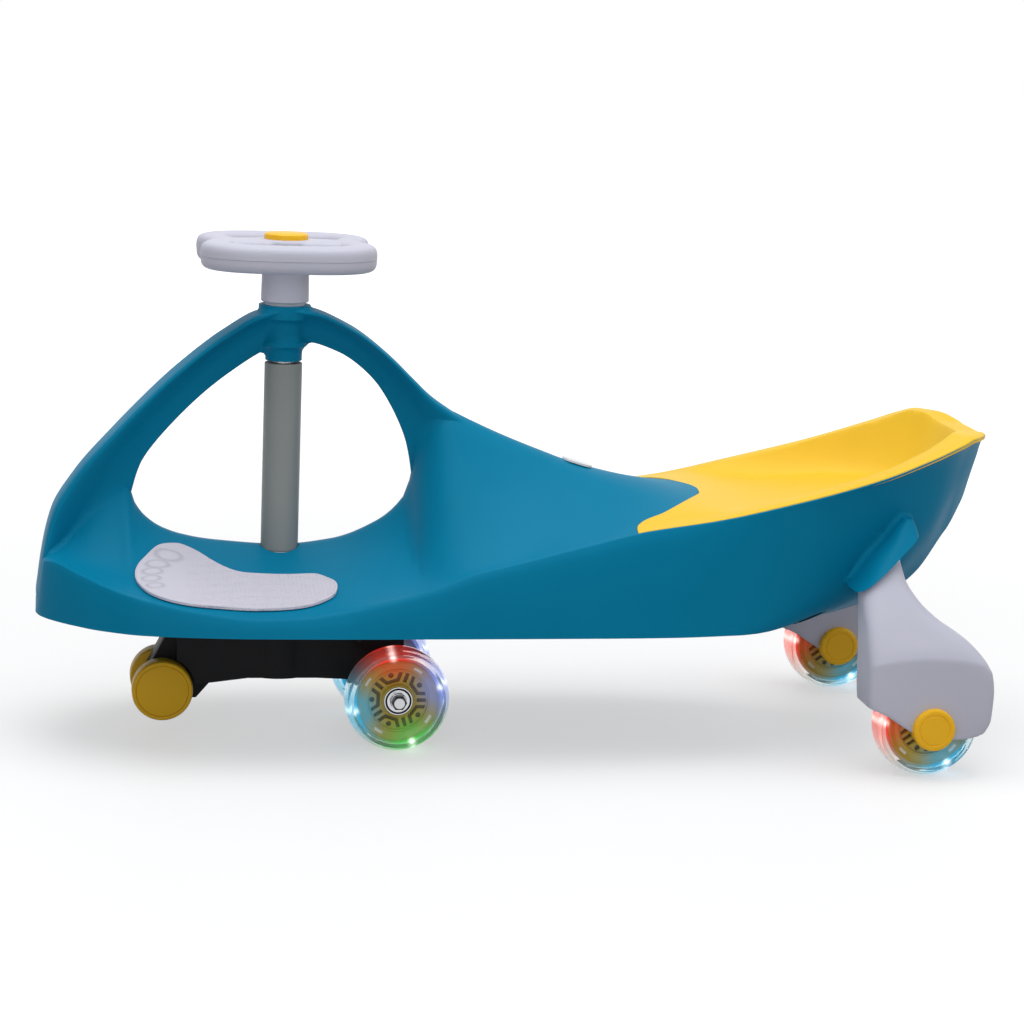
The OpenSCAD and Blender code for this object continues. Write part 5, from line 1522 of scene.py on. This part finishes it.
    def build(self) -> None:
        """Turns the tyre, the light ring and the bearings, and builds the hub."""
        t = np.linspace(np.pi / 2, -np.pi / 2, 34)
        inner, wide = self.outer_r - self.tyre_depth, self.half - 0.8
        crown = np.stack([self.outer_r - 0.7 * self.tyre_depth * (1 - np.cos(t)), self.half * np.sin(t)], -1)
        tyre = self.turned("tyre", 144, np.concatenate([[[inner, -wide], [inner, wide]], crown]))
        lights = self.turned("lights", 180, self.ring)
        for part, obj, strength, shine, angle, finish in (("tyre", tyre, 0.5, 0.22, 40, TYRE),
                                                          ("lights", lights, 0.8, 0.3, 40, LIGHTS),
                                                          ("hub", self.hub(), 0.62, 0.2, 30, AMBER)):
            self.lit(obj, strength, shine)
            fitted(obj, angle, finish, self.body, f"{self.name}_{part}")
        bearings = self.turned("bearings", 72, *(np.array(self.bearing) * [1, side] for side, _ in SIDES))
        r, _ = self.polar(bearings)
        # painted shade: the bearing's groove and the sunken ring round its bore are darkened
        Bench.tagged(bearings, "recess_shade", 1.0 * ((np.abs(r - 9.25) < 0.6) | (r < 6.2)))
        fitted(bearings, 30, BEARING, self.body, f"{self.name}_bearings")


@dataclass(frozen=True)
class FrontNuts:
    """Lock nuts on the front axle, each in a darker copy of the zinc finish as painted shade, round the
    bright end of the thread.
    """

    size: Sizes = Sizes()
    corner_r: float = 6.0
    tip_r: float = 2.7
    thickness: float = 6.0

    def build(self) -> None:
        """Turns a six-sided nut and a domed tip, and lays one pair on each side."""
        z, face = self.size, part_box("front_nuts")[1][1] / MM
        low, r, t = face - self.thickness, self.corner_r, self.tip_r
        nut = ((0, low), (r, low), (r, face - 1.2), (r - 0.8, face - 0.6), (4.4, face - 0.6),
               (4.0, face - 1.6), (0, face - 1.6))
        tip = ((0, low), (t, low), (t, face - 0.6), (t - 0.6, face - 0.1), (0, face))
        for name, finish, profile, steps, nodes in (("front_nuts_skin", SHADED_ZINC, nut, 6, ("front_nuts",)),
                                                    ("front_axle_tips", ZINC, tip, 48, ())):
            parts = [Patch.turned(profile, steps).across(side).moved(z.front_axle_x, 0, z.wheel_r)
                     for side, _ in SIDES]
            fitted(Patch.merged(*parts).piece(name), 25, finish, Body.STEERING, *nodes)


@dataclass(frozen=True)
class SafetyWheels:
    """The two small wheels at the front of the truck, with their cover discs."""

    size: Sizes = Sizes()
    r: float = 23.0
    half: float = 8.0
    bore_r: float = 3.05
    shoulder: Pairs = ((2, 0), (0.9, 0.4), (0.2, 1.4), (0, 2.6))

    def build(self) -> None:
        """Turns each wheel with rounded shoulders, and a cover with a groove round its edge."""
        z, h = self.size, self.half
        inner = [(self.r - down, back - h) for down, back in self.shoulder]
        outer = [(r, -y) for r, y in inner[::-1]]
        tread = [(self.bore_r, -h), *inner, *outer, (20.4, h), (19.9, h - 0.3), (19.9, h - 2),
                 (self.bore_r, h - 2)]
        disc = ((0, h - 2), (19.75, h - 2), (19.75, h - 0.7), (19.3, h - 0.25), (18.6, h - 0.1), (0, h + 0.2))
        for (side, name), body in zip(SIDES, (Body.SAFETY_LEFT, Body.SAFETY_RIGHT)):
            for part, profile, closed in (("wheel", tread, True), ("cover", disc, False)):
                form = Patch.turned(profile, closed=closed).across(side)
                form = form.moved(z.safety_x, side * z.safety_y, z.safety_z)
                fitted(form.piece(f"safety_{part}_{name}_skin"), 35, GOLD, body, f"safety_{part}_{name}")


@dataclass(frozen=True)
class AxleCaps:
    """The yellow caps on both sides of the rear legs."""

    size: Sizes = Sizes()
    face_y: float = 21.15
    r: float = 16.0
    height: float = 6.0

    def build(self) -> None:
        """Turns a cap with a rounded edge and a shallow ring round a bare middle, one for each face."""
        z, r, h = self.size, self.r, self.height
        profile = ((0, 0), (r, 0), (r, h - 1.6), (r - 0.3, h - 0.7), (r - 1.1, h - 0.1), (r - 1.9, h),
                   (12.2, h), (11.8, h - 0.45), (11.2, h - 0.45), (10.8, h - 0.05), (0, h))
        for node, sign in (("outer_caps", 1), ("inner_caps", -1)):
            cap = Patch.turned(profile, 80).across(sign)
            cap = cap.moved(z.rear_axle_x, z.rear_y + sign * self.face_y, z.wheel_r)
            both = Patch.merged(*(cap.sided(side) for side, _ in SIDES))
            fitted(both.piece(f"{node}_skin"), 30, CAP, Body.CHASSIS, node)


class Truck:
    """The black arm that carries the column, the front axle and the safety wheels."""

    @staticmethod
    def build() -> None:
        """Takes the arm's CAD form, joins its flat faces and rounds its edges."""
        source = frame["nodes"]["truck_arm"]
        mesh = source.data.copy()
        mesh.transform(source.matrix_world)
        arm = Bench.linked("truck_arm_skin", Bench.welded(mesh, flat=1))
        fitted(Bench.bevelled(arm, 1.0, 40), 35, BLACK, Body.STEERING, "truck_arm")


class Hardware:
    """CAD nodes that keep their shape, and their finishes by the record's slots."""

    @staticmethod
    def build() -> None:
        """Gives each node that is still shown the finish of its slot in the record."""
        by_slot = {finish.slot: finish for finish in FINISHES}
        slots = {part["node"]: part["material_slot"] for part in frame["record"]["subparts"]}
        for name, obj in frame["nodes"].items():
            obj.data.materials.clear()
            obj.data.materials.append(by_slot[slots[name]].material())
            if not obj.hide_render:
                LOG.info("%s keeps its CAD shape", name)


@dataclass(frozen=True)
class Studio:
    """Camera, lamps, floor and background.

    The camera's angles are in degrees, and places are in metres. A lamp has a name, a place, the
    length of its sides and its power.
    """

    turn: float = 9.69
    tip: float = 10.99
    roll: float = 2.25
    eye: Place = (0.363, 2.091, 0.585)
    sensor: float = 36.0
    lens: float = 98.4375
    far: float = 50.0
    aim: Place = (0, 0, 0.15)
    lamps: tuple[tuple[str, Place, float, float], ...] = (
        ("overhead", (0.1, 0.2, 2.2), 2.2, 43), ("front_fill", (0.9, 2.4, 1.1), 1.6, 12),
        ("rear_fill", (-1.8, 0.9, 1.3), 1.2, 7))
    sky: Colour = (0.95, 0.97, 1.0)
    sky_strength: float = 0.28
    floor_r: float = 12.0
    floor_z: float = -0.0005
    floor_colour: Colour = (0.45, 0.45, 0.455)

    def camera(self) -> None:
        """Camera at the photograph's place: turned, tipped and rolled by three angles."""
        turn, tip, roll = (math.radians(v) for v in (self.turn, self.tip, self.roll))
        ahead = Vector((-math.sin(turn) * math.cos(tip), -math.cos(turn) * math.cos(tip), -math.sin(tip)))
        right = Vector((-math.cos(turn), math.sin(turn), 0))
        up = right.cross(ahead)
        c, s = math.cos(roll), math.sin(roll)
        right, up = c * right + s * up, c * up - s * right
        data = bpy.data.cameras.new("camera")
        data.sensor_width, data.lens, data.clip_end = self.sensor, self.lens, self.far
        obj = Bench.linked("camera", data)
        obj.matrix_world = Matrix([*zip(right, up, -ahead, self.eye), (0, 0, 0, 1)])
        bpy.context.scene.camera = obj

    def light(self) -> None:
        """Square soft lamps, turned towards the car."""
        for name, place, size, watts in self.lamps:
            data = bpy.data.lights.new(name, "AREA")
            data.shape, data.size, data.energy = "SQUARE", size, watts
            obj = Bench.linked(name, data)
            obj.location = place
            obj.rotation_euler = (Vector(self.aim) - Vector(place)).to_track_quat("-Z", "Y").to_euler()

    @staticmethod
    def seen(tree: Tree) -> bpy.types.NodeSocket:
        """A value of 1 for camera, glossy and transmitted rays, and 0 for the rest."""
        path, glossy, clear = Kit.nodes(tree, "LightPath", "Math", "Math")
        glossy.operation = clear.operation = "MAXIMUM"
        Kit.wire(tree, (path, "Is Camera Ray", glossy, 0), (path, "Is Glossy Ray", glossy, 1),
                 (glossy, "Value", clear, 0), (path, "Is Transmission Ray", clear, 1))
        return clear.outputs["Value"]

    def world(self) -> None:
        """Even pale surroundings, white where they are seen."""
        world = bpy.data.worlds.new("surroundings")
        world.use_nodes = True
        bpy.context.scene.world = world
        tree = world.node_tree
        plain, (shown, both) = tree.nodes["Background"], Kit.nodes(tree, "Background", "MixShader")
        Kit.put(plain, {"Color": (*self.sky, 1), "Strength": self.sky_strength})
        Kit.put(shown, {"Color": (1, 1, 1, 1)})
        tree.links.new(self.seen(tree), both.inputs["Fac"])
        Kit.wire(tree, (plain, 0, both, 1), (shown, 0, both, 2),
                 (both, 0, tree.nodes["World Output"], "Surface"))

    def floor(self) -> None:
        """Wide pale floor that keeps the car's shadow, and fades into the background further away."""
        mesh, r, z = bpy.data.meshes.new("floor"), self.floor_r, self.floor_z
        mesh.from_pydata([(-r, -r, z), (r, -r, z), (r, r, z), (-r, r, z)], [], [(0, 1, 2, 3)])
        obj = Bench.linked("floor", mesh)
        material, tree, shader = Kit.sheet("pale_floor")
        place, far, rise, shown = Kit.nodes(tree, "TexCoord", "VectorMath", "MapRange", "Math")
        far.operation, rise.interpolation_type, shown.operation = "LENGTH", "SMOOTHSTEP", "MULTIPLY"
        Kit.put(shader, {"Base Color": (*self.floor_colour, 1), "Roughness": 0.6, "Specular IOR Level": 0.2,
                         "Emission Strength": 1.0})
        Kit.put(rise, {"From Min": 0.45, "From Max": 2.4, "To Min": 0.5, "To Max": 1.0})
        Kit.wire(tree, (place, "Object", far, 0), (far, "Value", rise, "Value"), (rise, "Result", shown, 0),
                 (shown, "Value", shader, "Emission Color"))
        tree.links.new(self.seen(tree), shown.inputs[1])
        mesh.materials.append(material)

    def build(self) -> None:
        """Sets the camera, the lamps, the floor and the background."""
        bpy.context.scene.view_settings.view_transform = "Standard"
        self.camera()
        self.world()
        self.floor()
        self.light()


def main() -> None:
    """Builds the studio and each sub-assembly in order."""
    logging.basicConfig(level=logging.INFO, format="%(message)s")
    z = Sizes()
    Studio().build()
    BodyShell().build()
    Seat().build()
    FootPads().build()
    RearLegs().build()
    SteeringWheel().build()
    front = (Led(98, RED), Led(18, BLUE), Led(-70, GREEN), Led(195, CYAN))
    rear = (Led(178, RED), Led(-60, CYAN), Led(60, GREEN), Led(105, BLUE))
    for name, body, x, y, leds in (
            ("front_left", Body.FRONT_LEFT, z.front_axle_x, z.front_y, front),
            ("front_right", Body.FRONT_RIGHT, z.front_axle_x, -z.front_y, front),
            ("rear_left", Body.REAR_LEFT, z.rear_axle_x, z.rear_y, rear),
            ("rear_right", Body.REAR_RIGHT, z.rear_axle_x, -z.rear_y, rear)):
        LightWheel(name, body, (x, y, z.wheel_r), leds).build()
    FrontNuts().build()
    SafetyWheels().build()
    AxleCaps().build()
    Truck.build()
    Hardware.build()
    bpy.context.view_layer.update()


if __name__ == "__main__":
    main()
